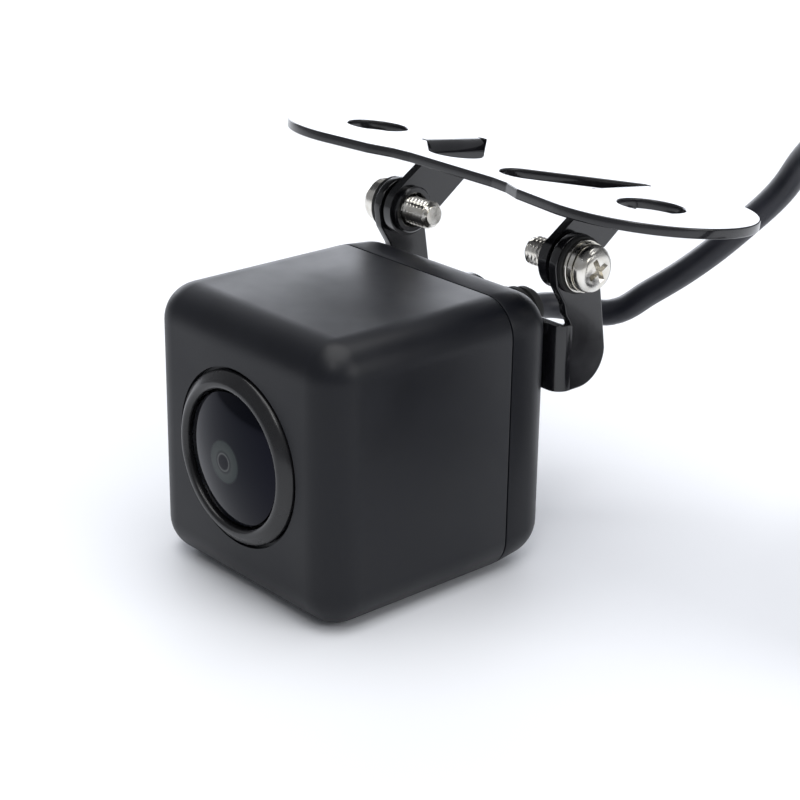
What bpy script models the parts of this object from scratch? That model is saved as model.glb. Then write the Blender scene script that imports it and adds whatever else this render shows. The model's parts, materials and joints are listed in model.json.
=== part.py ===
"""Backup camera: a cube-shaped body on a U-bracket, a tilting mounting plate and a coiled pigtail cord.

+X is the right side, +Y the rear, where the cord leaves, and +Z up. The origin is the centre of the
body's bottom face. The lens looks along -Y.
"""

import math

import bmesh
import bpy
from mathutils import Matrix, Vector

MM = 0.001
GAP = 0.3 * MM  # between pieces that meet
FINE_GAP = 0.1 * MM  # between the thin washers on a pivot screw

# Body
BODY_WIDTH = 28.0 * MM
BODY_DEPTH = 29.4 * MM
BODY_HEIGHT = 28.6 * MM
EDGE_RADIUS = 3.8 * MM
WALL = 2.0 * MM
COVER_DEPTH = 6.7 * MM
COVER_TAPER = 0.5 * MM
SEAL_WIDTH = 0.7 * MM
SEAL_THICK = 0.7 * MM
SEAL_REBATE = 0.9 * MM  # how far its rebate reaches into the wall
POST_RADIUS = 2.5 * MM
POST_INSET = 4.4 * MM  # from the body's side to the post's axis
COVER_SCREW_RADIUS = 1.0 * MM
COVER_SCREW_HEAD_RADIUS = 1.7 * MM
COVER_SCREW_LENGTH = 13.0 * MM

# Lens, from the front to the back
BEZEL_RADIUS = 8.7 * MM
BEZEL_PROUD = 1.0 * MM
BEZEL_SEAT_DEPTH = 0.6 * MM
GLASS_RADIUS = 6.65 * MM
GLASS_DOME = 1.2 * MM
GLASS_EDGE_PROUD = 0.4 * MM
BARREL_RADIUS = 7.2 * MM
BARREL_FLANGE_RADIUS = 9.2 * MM
BARREL_FLANGE_THICK = 1.2 * MM
BARREL_SEAL_RADIUS = 0.6 * MM
BARREL_BORE_RADIUS = 5.6 * MM
THREAD_RADIUS = 6.0 * MM
REAR_BORE_RADIUS = 4.9 * MM
LENS_THICK = 1.8 * MM
APERTURE_THICK = 0.5 * MM
APERTURE_RADIUS = 1.0 * MM
THIRD_LENS_SHARE = 0.44  # of the barrel's length behind the aperture ring
REAR_LENS_SHARE = 0.38
LENS_RISE_SHARE = 0.27  # of a lens's thickness, on each side
LOCK_RING_THICK = 1.4 * MM
HOLDER_WALL = 1.0 * MM
HOLDER_BASE_WIDTH = 20.4 * MM
HOLDER_BASE_HEIGHT = 15.0 * MM
HOLDER_CORNER = 3.0 * MM
HOLDER_BASE_THICK = 4.3 * MM
HOLDER_SHELF_THICK = 1.0 * MM
FILTER_SIDE = 8.8 * MM
FILTER_THICK = 0.5 * MM
FILTER_WINDOW_RADIUS = 4.0 * MM
SENSOR_WIDTH = 6.6 * MM
SENSOR_HEIGHT = 6.0 * MM
SENSOR_THICK = 1.0 * MM
SENSOR_SPACE = 3.0 * MM  # hollow behind the holder's window

# Boards, placed from the rear
BOARD_THICK = 1.0 * MM
BOARD_CLEARANCE = 0.8 * MM  # from a board's edge to the body's wall
REAR_SPACE = 3.9 * MM  # behind the main board, for the cord's wires
SPACER_LENGTH = 3.1 * MM
SPACER_RADIUS = 1.7 * MM
BOARD_SCREW_RADIUS = 0.8 * MM
BOARD_SCREW_HEAD_RADIUS = 1.6 * MM
BOARD_SCREW_HEAD_HEIGHT = 1.2 * MM
BOARD_SCREW_X = 8.2 * MM
BOARD_SCREW_BITE = 3.0 * MM
HEADER_TOP = -4.2 * MM  # over the lens axis
LEADS_RADIUS = 0.6 * MM

# Bent sheet of the U-bracket and the mounting plate
SHEET = 1.0 * MM
BEND_RADIUS = 0.5 * MM  # inside a bend
BRACKET_INNER_WIDTH = 25.0 * MM
BRACKET_BAND_BOTTOM = 17.5 * MM
BRACKET_BAND_HEIGHT = 7.0 * MM
BRACKET_BOSS_RADIUS = 5.6 * MM
BRACKET_REACH = 6.5 * MM  # from the band's front to the ears' rear edge
BRACKET_CORNER = 3.5 * MM
BRACKET_SCREW_X = 8.0 * MM
BRACKET_SCREW_RADIUS = 0.9 * MM
BRACKET_SCREW_HEAD_RADIUS = 1.7 * MM
BRACKET_SCREW_HEAD_HEIGHT = 1.2 * MM

# Tilt pivot
PIVOT_BEHIND_BODY = 2.2 * MM
PIVOT_ABOVE_BODY = 2.1 * MM
PIVOT_SCREW_RADIUS = 1.5 * MM
PIVOT_EAR_RADIUS = 3.0 * MM
PIVOT_HEAD_RADIUS = 2.4 * MM
PIVOT_HEAD_HEIGHT = 1.3 * MM
PIVOT_SCREW_TIP_X = 7.3 * MM
FRICTION_WASHER_RADIUS = 2.9 * MM
FRICTION_WASHER_THICK = 0.4 * MM
FLAT_WASHER_RADIUS = 2.65 * MM
FLAT_WASHER_THICK = 0.3 * MM
SPRING_WASHER_RADIUS = 2.5 * MM
SPRING_WASHER_THICK = 0.5 * MM
COLLAR_RADIUS = 2.5 * MM
COLLAR_LENGTH = 0.6 * MM

# Mounting plate, in its own plane: u along X, v towards the rear
PLATE_TILT = math.radians(-8.0)
PLATE_LENGTH = 59.2 * MM
PLATE_LOBE_RADIUS = 11.1 * MM
PLATE_WAIST = 16.6 * MM
PLATE_WAIST_HALF_LENGTH = 6.0 * MM
PLATE_SHOULDER_U = 11.0 * MM
PLATE_SHOULDER_WIDTH = 19.8 * MM
PLATE_RISE = 7.16 * MM  # from the pivot to the plate's top face, square to it
PLATE_CENTRE_V = 2.64 * MM  # from the pivot, along the plate
PLATE_EAR_X = 11.0 * MM
PLATE_EAR_RADIUS = 2.9 * MM
PLATE_EAR_ROOT_FRONT = 2.1 * MM  # from the pivot, along the plate
PLATE_EAR_ROOT_REAR = 10.1 * MM
WINDOW_TIP_U = 5.2 * MM
WINDOW_TIP_RADIUS = 2.8 * MM
WINDOW_RELIEF = 0.4 * MM  # beside an ear's root
PLATE_HOLE_U = 19.9 * MM
PLATE_HOLE_RADIUS = 3.3 * MM
PLATE_HOLE_V = -0.6 * MM  # from the plate's centre line

# Cord
CORD_RADIUS = 1.4 * MM
GLAND_HEIGHT = 21.0 * MM
GLAND_NECK_RADIUS = 3.0 * MM
GLAND_FLANGE_RADIUS = 4.4 * MM
GLAND_FLANGE_THICK = 1.0 * MM
GLAND_TAIL_RADIUS = 3.6 * MM
GLAND_TIP_RADIUS = 2.2 * MM
GLAND_TAIL_LENGTH = 8.0 * MM
COIL_X = 54.0 * MM
COIL_Y = 38.0 * MM
COIL_RADIUS = 15.5 * MM  # at the middle of its turns
COIL_PITCH = 2.85 * MM
COIL_LAYERS = 3
COIL_START = math.radians(-60.0)  # where the cord comes down onto the coil
COIL_END = math.radians(-95.0)  # where it leaves, at the bottom of the outer column
TAIL_RUN = 10.6 * MM  # from the coil's last turn to where the tail is clear of the coil
TIE_ANGLE = math.radians(150.0)
TIE_WIDTH = 3.0 * MM
TIE_THICK = 0.6 * MM
CONNECTOR_RADIUS = 5.0 * MM
CONNECTOR_LENGTH = 20.0 * MM
CONNECTOR_WALL = 1.0 * MM
CONNECTOR_SOCKET_DEPTH = 7.0 * MM
BOOT_LENGTH = 9.0 * MM
PIN_RADIUS = 0.5 * MM
PIN_CIRCLE_RADIUS = 2.0 * MM
PIN_LENGTH = 6.0 * MM
INSERT_THICK = 2.0 * MM

# The cord's route between the strain relief and the coil, over the floor at 0
ROUTE = [
    (0.5, 27.4, 20.7),
    (2.2, 30.0, 20.1),
    (5.0, 31.7, 20.2),
    (9.0, 33.1, 23.2),
    (14.0, 34.6, 27.5),
    (19.2, 35.6, 32.8),
    (22.6, 35.9, 36.6),
    (26.0, 35.0, 41.0),
    (30.6, 32.6, 44.6),
    (36.2, 28.8, 45.0),
    (41.3, 24.7, 40.4),
    (44.8, 21.2, 32.6),
    (46.9, 18.9, 24.0),
]

# The tail's route from the coil to the connector's boot, from where it is clear of the coil
TAIL_ROUTE = [
    (66.4, 20.0, 1.45),
    (70.8, 20.4, 1.5),
    (75.6, 22.6, 2.1),
    (78.2, 26.3, 3.5),
]
CONNECTOR_X = 78.9 * MM
BOOT_Y = 30.5 * MM

# Worked out from the sizes above
FRONT_Y = -BODY_DEPTH / 2
REAR_Y = BODY_DEPTH / 2
AXIS_Z = BODY_HEIGHT / 2
SEAM_DEPTH = BODY_DEPTH - COVER_DEPTH
INNER_HALF_WIDTH = BODY_WIDTH / 2 - WALL
INNER_HALF_HEIGHT = BODY_HEIGHT / 2 - WALL
REBATE_CORNER = EDGE_RADIUS - WALL + SEAL_REBATE  # keeps the wall even round the corner
BORE_GAP = 0.3 * MM
MAIN_BOARD_BACK = BODY_DEPTH - WALL - REAR_SPACE
MAIN_BOARD_FRONT = MAIN_BOARD_BACK - BOARD_THICK
SENSOR_BOARD_BACK = MAIN_BOARD_FRONT - SPACER_LENGTH - 2 * GAP
SENSOR_BOARD_FRONT = SENSOR_BOARD_BACK - BOARD_THICK
HOLDER_BACK = SENSOR_BOARD_FRONT - GAP
HOLDER_WINDOW = HOLDER_BACK - SENSOR_SPACE
HOLDER_BASE_FRONT = HOLDER_BACK - HOLDER_BASE_THICK
BARREL_FRONT = BEZEL_SEAT_DEPTH + GAP
SEAL_MIDDLE = WALL + GAP + BARREL_SEAL_RADIUS
FLANGE_FRONT = SEAL_MIDDLE + BARREL_SEAL_RADIUS + GAP
FLANGE_BACK = FLANGE_FRONT + BARREL_FLANGE_THICK
HOLDER_SHELF = HOLDER_WINDOW - HOLDER_SHELF_THICK
BARREL_BACK = HOLDER_SHELF - GAP
BAND_FRONT = REAR_Y + GAP
BAND_BACK = BAND_FRONT + SHEET
PIVOT_Y = REAR_Y + PIVOT_BEHIND_BODY
PIVOT_Z = BODY_HEIGHT + PIVOT_ABOVE_BODY
PIVOT_HOLE_RADIUS = PIVOT_SCREW_RADIUS + BORE_GAP
BRACKET_OUTER_X = BRACKET_INNER_WIDTH / 2 + SHEET
CORNERS = [(sx, sz) for sx in (-1, 1) for sz in (-1, 1)]
POST_X = BODY_WIDTH / 2 - POST_INSET
POST_Z = BODY_HEIGHT / 2 - POST_INSET
COIL_COLUMN = COIL_PITCH / 2  # from the coil's middle circle to a column of turns
COIL_HALF_WIDTH = COIL_COLUMN + CORD_RADIUS + 0.05 * MM
COIL_HEIGHT = 2 * CORD_RADIUS + (COIL_LAYERS - 1) * COIL_PITCH + 0.1 * MM
LENS_TURN = Matrix.Rotation(math.radians(90.0), 4, "X")  # local Z to the front
REAR_TURN = Matrix.Rotation(math.radians(-90.0), 4, "X")  # local Z to the rear


def clear_scene():
    for obj in list(bpy.data.objects):
        bpy.data.objects.remove(obj, do_unlink=True)


def new_collection(name):
    collection = bpy.data.collections.new(name)
    bpy.context.scene.collection.children.link(collection)
    return collection


clear_scene()
PARTS = new_collection("backup_camera")
CUTTERS = new_collection("cutters")


def material(name, colour, roughness, metallic=0.0):
    """A Principled BSDF material, made once for each name."""
    found = bpy.data.materials.get(name)
    if found:
        return found
    made = bpy.data.materials.new(name)
    made.use_nodes = True
    made.diffuse_color = (*colour, 1.0)
    shader = made.node_tree.nodes["Principled BSDF"]
    shader.inputs["Base Color"].default_value = (*colour, 1.0)
    shader.inputs["Roughness"].default_value = roughness
    shader.inputs["Metallic"].default_value = metallic
    return made


def body_plastic():
    return material("body_plastic", (0.018, 0.018, 0.02), 0.5)


def bezel_plastic():
    return material("bezel_plastic", (0.01, 0.01, 0.011), 0.3)


def lens_glass():
    return material("lens_glass", (0.02, 0.02, 0.03), 0.05)


def black_anodised():
    return material("black_anodised", (0.02, 0.02, 0.02), 0.35, 0.9)


def painted_steel():
    return material("painted_steel", (0.012, 0.012, 0.013), 0.25)


def nickel():
    return material("nickel", (0.75, 0.72, 0.66), 0.22, 1.0)


def zinc_steel():
    return material("zinc_steel", (0.5, 0.5, 0.5), 0.35, 1.0)


def seal_rubber():
    return material("seal_rubber", (0.02, 0.02, 0.02), 0.8)


def cord_jacket():
    return material("cord_jacket", (0.015, 0.015, 0.016), 0.45)


def board_laminate():
    return material("board_laminate", (0.02, 0.11, 0.05), 0.45)


def chip_plastic():
    return material("chip_plastic", (0.02, 0.02, 0.02), 0.6)


def connector_plastic():
    return material("connector_plastic", (0.02, 0.02, 0.022), 0.4)


def contact_insert():
    return material("contact_insert", (0.05, 0.05, 0.055), 0.5)


def contact_brass():
    return material("contact_brass", (0.78, 0.6, 0.25), 0.3, 1.0)


def new_object(name, mesh, look=None, matrix=Matrix.Identity(4)):
    """A part with a material, or a cutter without one."""
    obj = bpy.data.objects.new(name, mesh)
    obj.matrix_world = matrix
    if look:
        mesh.materials.append(look)
        PARTS.objects.link(obj)
    else:
        CUTTERS.objects.link(obj)
        obj.hide_render = True
        obj.display_type = "WIRE"
    return obj


def smooth(mesh):
    mesh.shade_smooth()
    mesh.set_sharp_from_angle(angle=math.radians(35.0))


def mesh_from(bm, name):
    bmesh.ops.recalc_face_normals(bm, faces=bm.faces)
    mesh = bpy.data.meshes.new(name)
    bm.to_mesh(mesh)
    bm.free()
    smooth(mesh)
    return mesh


def box(name, low, high, look=None, round_edges=0.0, axis=None, segments=3):
    """A box between two corners. Its edges along axis, or all of them, can be rounded."""
    low, high = Vector(low), Vector(high)
    bm = bmesh.new()
    bmesh.ops.create_cube(bm, size=1.0)
    for vert in bm.verts:
        vert.co = Vector(low[i] + (vert.co[i] + 0.5) * (high[i] - low[i]) for i in range(3))
    if round_edges:
        edges = [
            edge
            for edge in bm.edges
            if axis is None or abs((edge.verts[0].co - edge.verts[1].co)[axis]) > 1e-7
        ]
        bmesh.ops.bevel(
            bm, geom=edges, offset=round_edges, segments=segments, profile=0.5, affect="EDGES"
        )
    return new_object(name, mesh_from(bm, name), look)


def turned(name, profile, matrix, look=None, steps=32):
    """A profile of (radius, height) that runs down its outer side, turned about the local Z axis."""
    bm = bmesh.new()
    verts = [bm.verts.new((radius, 0.0, height)) for radius, height in profile]
    for first, second in zip(verts, verts[1:]):
        bm.edges.new((first, second))
    if profile[0][0] > 0 or profile[-1][0] > 0:
        bm.edges.new((verts[-1], verts[0]))
    mesh = bpy.data.meshes.new(name)
    bm.to_mesh(mesh)
    bm.free()
    obj = new_object(name, mesh, look, matrix)
    screw = obj.modifiers.new("turn", "SCREW")
    screw.angle = 2 * math.pi
    screw.steps = steps
    screw.render_steps = steps
    screw.use_merge_vertices = True
    screw.merge_threshold = 1e-6
    screw.use_smooth_shade = True
    return obj


def rod(name, radius, low, high, matrix, look=None, steps=24):
    """A plain round bar along the local Z axis."""
    return turned(name, [(0, high), (radius, high), (radius, low), (0, low)], matrix, look, steps)


def ring(name, inner, outer, low, high, matrix, look=None, steps=32):
    profile = [(inner, high), (outer, high), (outer, low), (inner, low)]
    return turned(name, profile, matrix, look, steps)


def joined(obj, other, operation="DIFFERENCE", solver="EXACT"):
    boolean = obj.modifiers.new(other.name, "BOOLEAN")
    boolean.operation = operation
    boolean.solver = solver
    boolean.object = other


def arc(centre, radius, start, end, count):
    """Points on an arc, with angles in degrees."""
    angles = [math.radians(start + (end - start) * i / count) for i in range(count + 1)]
    return [(centre[0] + radius * math.cos(a), centre[1] + radius * math.sin(a)) for a in angles]


def outline(name, points, thickness, matrix, look=None):
    """A flat outline with thickness, centred on the matrix's XY plane, as a mesh object."""
    curve = bpy.data.curves.new(name, "CURVE")
    curve.dimensions = "2D"
    curve.fill_mode = "BOTH"
    curve.extrude = thickness / 2
    spline = curve.splines.new("POLY")
    spline.points.add(len(points) - 1)
    for point, (x, y) in zip(spline.points, points):
        point.co = (x, y, 0.0, 1.0)
    spline.use_cyclic_u = True
    flat = bpy.data.objects.new(name, curve)
    CUTTERS.objects.link(flat)
    graph = bpy.context.evaluated_depsgraph_get()
    mesh = bpy.data.meshes.new_from_object(flat.evaluated_get(graph))
    bpy.data.objects.remove(flat, do_unlink=True)
    bm = bmesh.new()
    bm.from_mesh(mesh)
    bmesh.ops.remove_doubles(bm, verts=bm.verts, dist=1e-6)
    bmesh.ops.recalc_face_normals(bm, faces=bm.faces)
    bm.to_mesh(mesh)
    bm.free()
    mesh.name = name
    return new_object(name, mesh, look, matrix)


def frame_of(origin, x_axis, y_axis):
    """A matrix whose local X and Y run along two given directions."""
    x_axis, y_axis = Vector(x_axis).normalized(), Vector(y_axis).normalized()
    matrix = Matrix((x_axis, y_axis, x_axis.cross(y_axis))).transposed().to_4x4()
    matrix.translation = Vector(origin)
    return matrix


def tangent_point(outside, centre, radius, side):
    """The angle in degrees at which a line from a point outside touches a circle."""
    dx, dy = outside[0] - centre[0], outside[1] - centre[1]
    turn = side * math.acos(radius / math.hypot(dx, dy))
    return math.degrees(math.atan2(dy, dx) + turn)


def front_frame(x=0.0, z=0.0):
    """Local Z runs forward from the body's front face, so a depth is a negative height."""
    return Matrix.Translation((x, FRONT_Y, AXIS_Z + z)) @ LENS_TURN


def rear_frame(x, z, y=0.0):
    """Local Z runs to the rear, and a height is a world Y when y is 0."""
    return Matrix.Translation((x, y, z)) @ REAR_TURN


def side_frame(side):
    """Local Z runs outward along X from the middle of the tilt pivot."""
    turn = Matrix.Rotation(side * math.radians(90.0), 4, "Y")
    return Matrix.Translation((0.0, PIVOT_Y, PIVOT_Z)) @ turn


def depth_box(name, half_x, low_z, high_z, front, back, look, x=0.0):
    """A box by its depths behind the body's front face, and heights over the lens axis."""
    low = (x - half_x, FRONT_Y + front, AXIS_Z + low_z)
    high = (x + half_x, FRONT_Y + back, AXIS_Z + high_z)
    return box(name, low, high, look)


# ---- body


def rounded_body(name, front, back, keep_sharp_at, taper, look):
    """One half of the body: every edge is rounded except those at the seam."""
    bm = bmesh.new()
    bmesh.ops.create_cube(bm, size=1.0)
    half_x, half_z = BODY_WIDTH / 2, BODY_HEIGHT / 2
    for vert in bm.verts:
        at_back = vert.co.y > 0
        shrink = taper if at_back else 0.0
        vert.co = Vector(
            (
                math.copysign(half_x - shrink, vert.co.x),
                back if at_back else front,
                AXIS_Z + math.copysign(half_z - shrink, vert.co.z),
            )
        )
    edges = [
        edge
        for edge in bm.edges
        if not all(abs(vert.co.y - keep_sharp_at) < 1e-7 for vert in edge.verts)
    ]
    bmesh.ops.bevel(
        bm, geom=edges, offset=EDGE_RADIUS, segments=4, profile=0.5, affect="EDGES"
    )
    return new_object(name, mesh_from(bm, name), look)


def post_cutters(label, radius, front, back):
    """Round bars on the four corner screws' axes, given by depths."""
    return [
        rod(f"{label}_{i}", radius, -back, -front, front_frame(sx * POST_X, sz * POST_Z), steps=14)
        for i, (sx, sz) in enumerate(CORNERS)
    ]


def make_front_shell():
    seam = SEAM_DEPTH - GAP / 2
    shell = rounded_body("front_shell", FRONT_Y, FRONT_Y + seam, FRONT_Y + seam, 0.0, body_plastic())
    cavity = box(
        "shell_cavity",
        (-INNER_HALF_WIDTH, FRONT_Y + WALL, AXIS_Z - INNER_HALF_HEIGHT),
        (INNER_HALF_WIDTH, FRONT_Y + seam + MM, AXIS_Z + INNER_HALF_HEIGHT),
    )
    joined(shell, cavity)
    rebate_front = seam - SEAL_THICK - GAP
    for post in post_cutters("shell_post", POST_RADIUS, WALL - GAP, rebate_front):
        joined(shell, post, "UNION")
    half_x, half_z = INNER_HALF_WIDTH + SEAL_REBATE, INNER_HALF_HEIGHT + SEAL_REBATE
    rebate = box(
        "seal_rebate",
        (-half_x, FRONT_Y + rebate_front, AXIS_Z - half_z),
        (half_x, FRONT_Y + seam + MM, AXIS_Z + half_z),
        round_edges=REBATE_CORNER, axis=1,
    )
    joined(shell, rebate)
    bore = rod(
        "lens_bore", BARREL_RADIUS + BORE_GAP, -WALL - MM, MM, front_frame(), steps=40
    )
    joined(shell, bore)
    seat = rod(
        "bezel_seat", BEZEL_RADIUS + BORE_GAP, -BEZEL_SEAT_DEPTH, MM, front_frame(), steps=40
    )
    joined(shell, seat)
    hole_front = BODY_DEPTH - COVER_SCREW_LENGTH - 2 * MM
    for hole in post_cutters("shell_hole", COVER_SCREW_RADIUS + BORE_GAP, hole_front, BODY_DEPTH):
        joined(shell, hole)


def make_rear_cover():
    front = SEAM_DEPTH + GAP / 2
    cover = rounded_body(
        "rear_cover", FRONT_Y + front, REAR_Y, FRONT_Y + front, COVER_TAPER, body_plastic()
    )
    half_x, half_z = INNER_HALF_WIDTH - COVER_TAPER, INNER_HALF_HEIGHT - COVER_TAPER
    cavity = box(
        "cover_cavity",
        (-half_x, FRONT_Y + front - MM, AXIS_Z - half_z),
        (half_x, REAR_Y - WALL, AXIS_Z + half_z),
    )
    joined(cover, cavity)
    for post in post_cutters("cover_post", POST_RADIUS, front, BODY_DEPTH - WALL + GAP):
        joined(cover, post, "UNION")
    for side in (-1, 1):
        boss = rod(
            f"bracket_boss_{side}", BRACKET_SCREW_HEAD_RADIUS, REAR_Y - 2 * WALL, REAR_Y - WALL + GAP,
            rear_frame(side * BRACKET_SCREW_X, GLAND_HEIGHT), steps=20,
        )
        joined(cover, boss, "UNION")
        hole = rod(
            f"bracket_boss_hole_{side}", BRACKET_SCREW_RADIUS + BORE_GAP, REAR_Y - 3 * WALL, REAR_Y + MM,
            rear_frame(side * BRACKET_SCREW_X, GLAND_HEIGHT), steps=20,
        )
        joined(cover, hole)
    gland_hole = rod(
        "gland_hole", GLAND_NECK_RADIUS + BORE_GAP, REAR_Y - 2 * WALL, REAR_Y + MM,
        rear_frame(0.0, GLAND_HEIGHT),
    )
    joined(cover, gland_hole)
    for i, (sx, sz) in enumerate(CORNERS):
        frame = rear_frame(sx * POST_X, AXIS_Z + sz * POST_Z)
        radius, head = COVER_SCREW_RADIUS + BORE_GAP, COVER_SCREW_HEAD_RADIUS + BORE_GAP
        sink = head - radius
        profile = [
            (0, REAR_Y + MM), (head, REAR_Y + MM), (head, REAR_Y), (radius, REAR_Y - sink),
            (radius, FRONT_Y + front - MM), (0, FRONT_Y + front - MM),
        ]
        joined(cover, turned(f"countersink_{i}", profile, frame, steps=14))


def make_cover_screws():
    """Countersunk screws through the rear cover into the front shell's posts."""
    sink = COVER_SCREW_HEAD_RADIUS - COVER_SCREW_RADIUS
    profile = [
        (0, REAR_Y), (COVER_SCREW_HEAD_RADIUS, REAR_Y), (COVER_SCREW_RADIUS, REAR_Y - sink),
        (COVER_SCREW_RADIUS, REAR_Y - COVER_SCREW_LENGTH), (0, REAR_Y - COVER_SCREW_LENGTH),
    ]
    for i, (sx, sz) in enumerate(CORNERS):
        frame = rear_frame(sx * POST_X, AXIS_Z + sz * POST_Z)
        turned(f"cover_screw_{i + 1}", profile, frame, zinc_steel(), steps=16)


def make_case_seal():
    """A flat rubber frame in the front shell's rebate."""
    half_x = INNER_HALF_WIDTH + SEAL_REBATE - GAP
    half_z = INNER_HALF_HEIGHT + SEAL_REBATE - GAP
    back = FRONT_Y + SEAM_DEPTH - GAP / 2
    low = (-half_x, back - SEAL_THICK, AXIS_Z - half_z)
    high = (half_x, back, AXIS_Z + half_z)
    corner = REBATE_CORNER - GAP
    seal = box("case_seal", low, high, seal_rubber(), round_edges=corner, axis=1)
    low = (low[0] + SEAL_WIDTH, low[1] - MM, low[2] + SEAL_WIDTH)
    high = (high[0] - SEAL_WIDTH, high[1] + MM, high[2] - SEAL_WIDTH)
    corner -= SEAL_WIDTH
    joined(seal, box("case_seal_opening", low, high, round_edges=corner, axis=1))


# ---- lens


def dome(radius, rise, top, count=4):
    """Profile points of a shallow dome, from its top to its edge."""
    ball = (radius**2 + rise**2) / (2 * rise)
    radii = [radius * i / count for i in range(count + 1)]
    return [(r, top - ball + math.sqrt(ball**2 - r**2)) for r in radii]


def make_lens():
    frame = front_frame()
    bezel_back = -BEZEL_SEAT_DEPTH + GAP
    opening = GLASS_RADIUS + BORE_GAP
    bezel = [
        (opening, BEZEL_PROUD - 0.3 * MM),
        (opening + 0.25 * MM, BEZEL_PROUD),
        (BEZEL_RADIUS - 1.1 * MM, BEZEL_PROUD),
        (BEZEL_RADIUS, 0.15 * MM),
        (BEZEL_RADIUS, bezel_back),
        (opening, bezel_back),
    ]
    turned("lens_bezel", bezel, frame, bezel_plastic(), steps=40)
    glass = dome(GLASS_RADIUS, GLASS_DOME, GLASS_EDGE_PROUD + GLASS_DOME)
    glass += [(GLASS_RADIUS, -BARREL_FRONT + GAP), (0, -BARREL_FRONT + GAP)]
    turned("front_glass", glass, frame, lens_glass(), steps=32)
    first_floor = BARREL_FRONT + GAP + LENS_THICK + 2 * GAP
    barrel = [
        (BARREL_BORE_RADIUS, -BARREL_FRONT),
        (BARREL_RADIUS, -BARREL_FRONT),
        (BARREL_RADIUS, -FLANGE_FRONT),
        (BARREL_FLANGE_RADIUS, -FLANGE_FRONT),
        (BARREL_FLANGE_RADIUS, -FLANGE_BACK),
        (THREAD_RADIUS, -FLANGE_BACK),
        (THREAD_RADIUS, -BARREL_BACK),
        (REAR_BORE_RADIUS, -BARREL_BACK),
        (REAR_BORE_RADIUS, -first_floor),
        (BARREL_BORE_RADIUS, -first_floor),
    ]
    turned("lens_barrel", barrel, frame, black_anodised(), steps=24)
    seal_ring = BARREL_RADIUS + BORE_GAP + BARREL_SEAL_RADIUS
    section = arc((seal_ring, -SEAL_MIDDLE), BARREL_SEAL_RADIUS, 90, -270, 6)[:-1]
    turned("barrel_seal", section, frame, seal_rubber(), steps=24)
    second_front = BARREL_FRONT + GAP
    second = dome(BARREL_BORE_RADIUS - BORE_GAP, 0.6 * MM, -second_front)
    second += [(BARREL_BORE_RADIUS - BORE_GAP, -second_front - LENS_THICK)]
    second += [(0, -second_front - LENS_THICK)]
    turned("second_lens", second, frame, lens_glass(), steps=20)
    inner = REAR_BORE_RADIUS - BORE_GAP
    stop_front = first_floor + GAP
    ring(
        "aperture_ring", APERTURE_RADIUS, inner, -stop_front - APERTURE_THICK, -stop_front,
        frame, black_anodised(),
    )
    ring_front = BARREL_BACK - GAP - LOCK_RING_THICK
    third_front = stop_front + APERTURE_THICK + GAP
    rear_back = ring_front - GAP
    third_thick = THIRD_LENS_SHARE * (rear_back - third_front)
    rear_thick = REAR_LENS_SHARE * (rear_back - third_front)
    for name, front, thick in (
        ("third_lens", third_front, third_thick), ("rear_lens", rear_back - rear_thick, rear_thick)
    ):
        front_half = dome(inner, LENS_RISE_SHARE * thick, -front)
        back_half = [(r, -2 * front - thick - h) for r, h in reversed(front_half)]
        turned(name, front_half + back_half, frame, lens_glass(), steps=20)
    ring(
        "barrel_lock_ring", inner - 1.2 * MM, inner, -ring_front - LOCK_RING_THICK, -ring_front,
        frame, black_anodised(),
    )


def make_lens_holder():
    """A socket for the lens barrel's thread, on a base that covers the sensor."""
    low = (-HOLDER_BASE_WIDTH / 2, FRONT_Y + HOLDER_BASE_FRONT, AXIS_Z - HOLDER_BASE_HEIGHT / 2)
    high = (HOLDER_BASE_WIDTH / 2, FRONT_Y + HOLDER_BACK, AXIS_Z + HOLDER_BASE_HEIGHT / 2)
    holder = box("lens_holder", low, high, bezel_plastic(), HOLDER_CORNER, axis=1, segments=4)
    bore = THREAD_RADIUS + BORE_GAP
    sleeve = rod(
        "holder_sleeve", bore + HOLDER_WALL, -HOLDER_WINDOW, -FLANGE_BACK - MM, front_frame()
    )
    joined(holder, sleeve, "UNION")
    profile = [
        (0, -FLANGE_BACK), (bore, -FLANGE_BACK), (bore, -HOLDER_SHELF),
        (FILTER_WINDOW_RADIUS, -HOLDER_SHELF), (FILTER_WINDOW_RADIUS, -HOLDER_WINDOW - MM),
        (0, -HOLDER_WINDOW - MM),
    ]
    joined(holder, turned("holder_bore", profile, front_frame()))
    half = FILTER_SIDE / 2 + 0.7 * MM
    space = box(
        "sensor_space",
        (-half, FRONT_Y + HOLDER_WINDOW, AXIS_Z - half),
        (half, FRONT_Y + HOLDER_BACK + MM, AXIS_Z + half),
    )
    joined(holder, space)
    for side in (-1, 1):
        frame = front_frame(side * BOARD_SCREW_X)
        hole = rod(
            f"holder_hole_{side}", BOARD_SCREW_RADIUS + BORE_GAP,
            -HOLDER_BACK - MM, -HOLDER_BACK + BOARD_SCREW_BITE + GAP, frame, steps=16,
        )
        joined(holder, hole)


def make_sensor():
    front = HOLDER_WINDOW + GAP
    half = FILTER_SIDE / 2
    depth_box("ir_filter", half, -half, half, front, front + FILTER_THICK, lens_glass())
    half = SENSOR_HEIGHT / 2
    back = SENSOR_BOARD_FRONT - GAP
    depth_box(
        "image_sensor", SENSOR_WIDTH / 2, -half, half, back - SENSOR_THICK, back, chip_plastic()
    )


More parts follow.
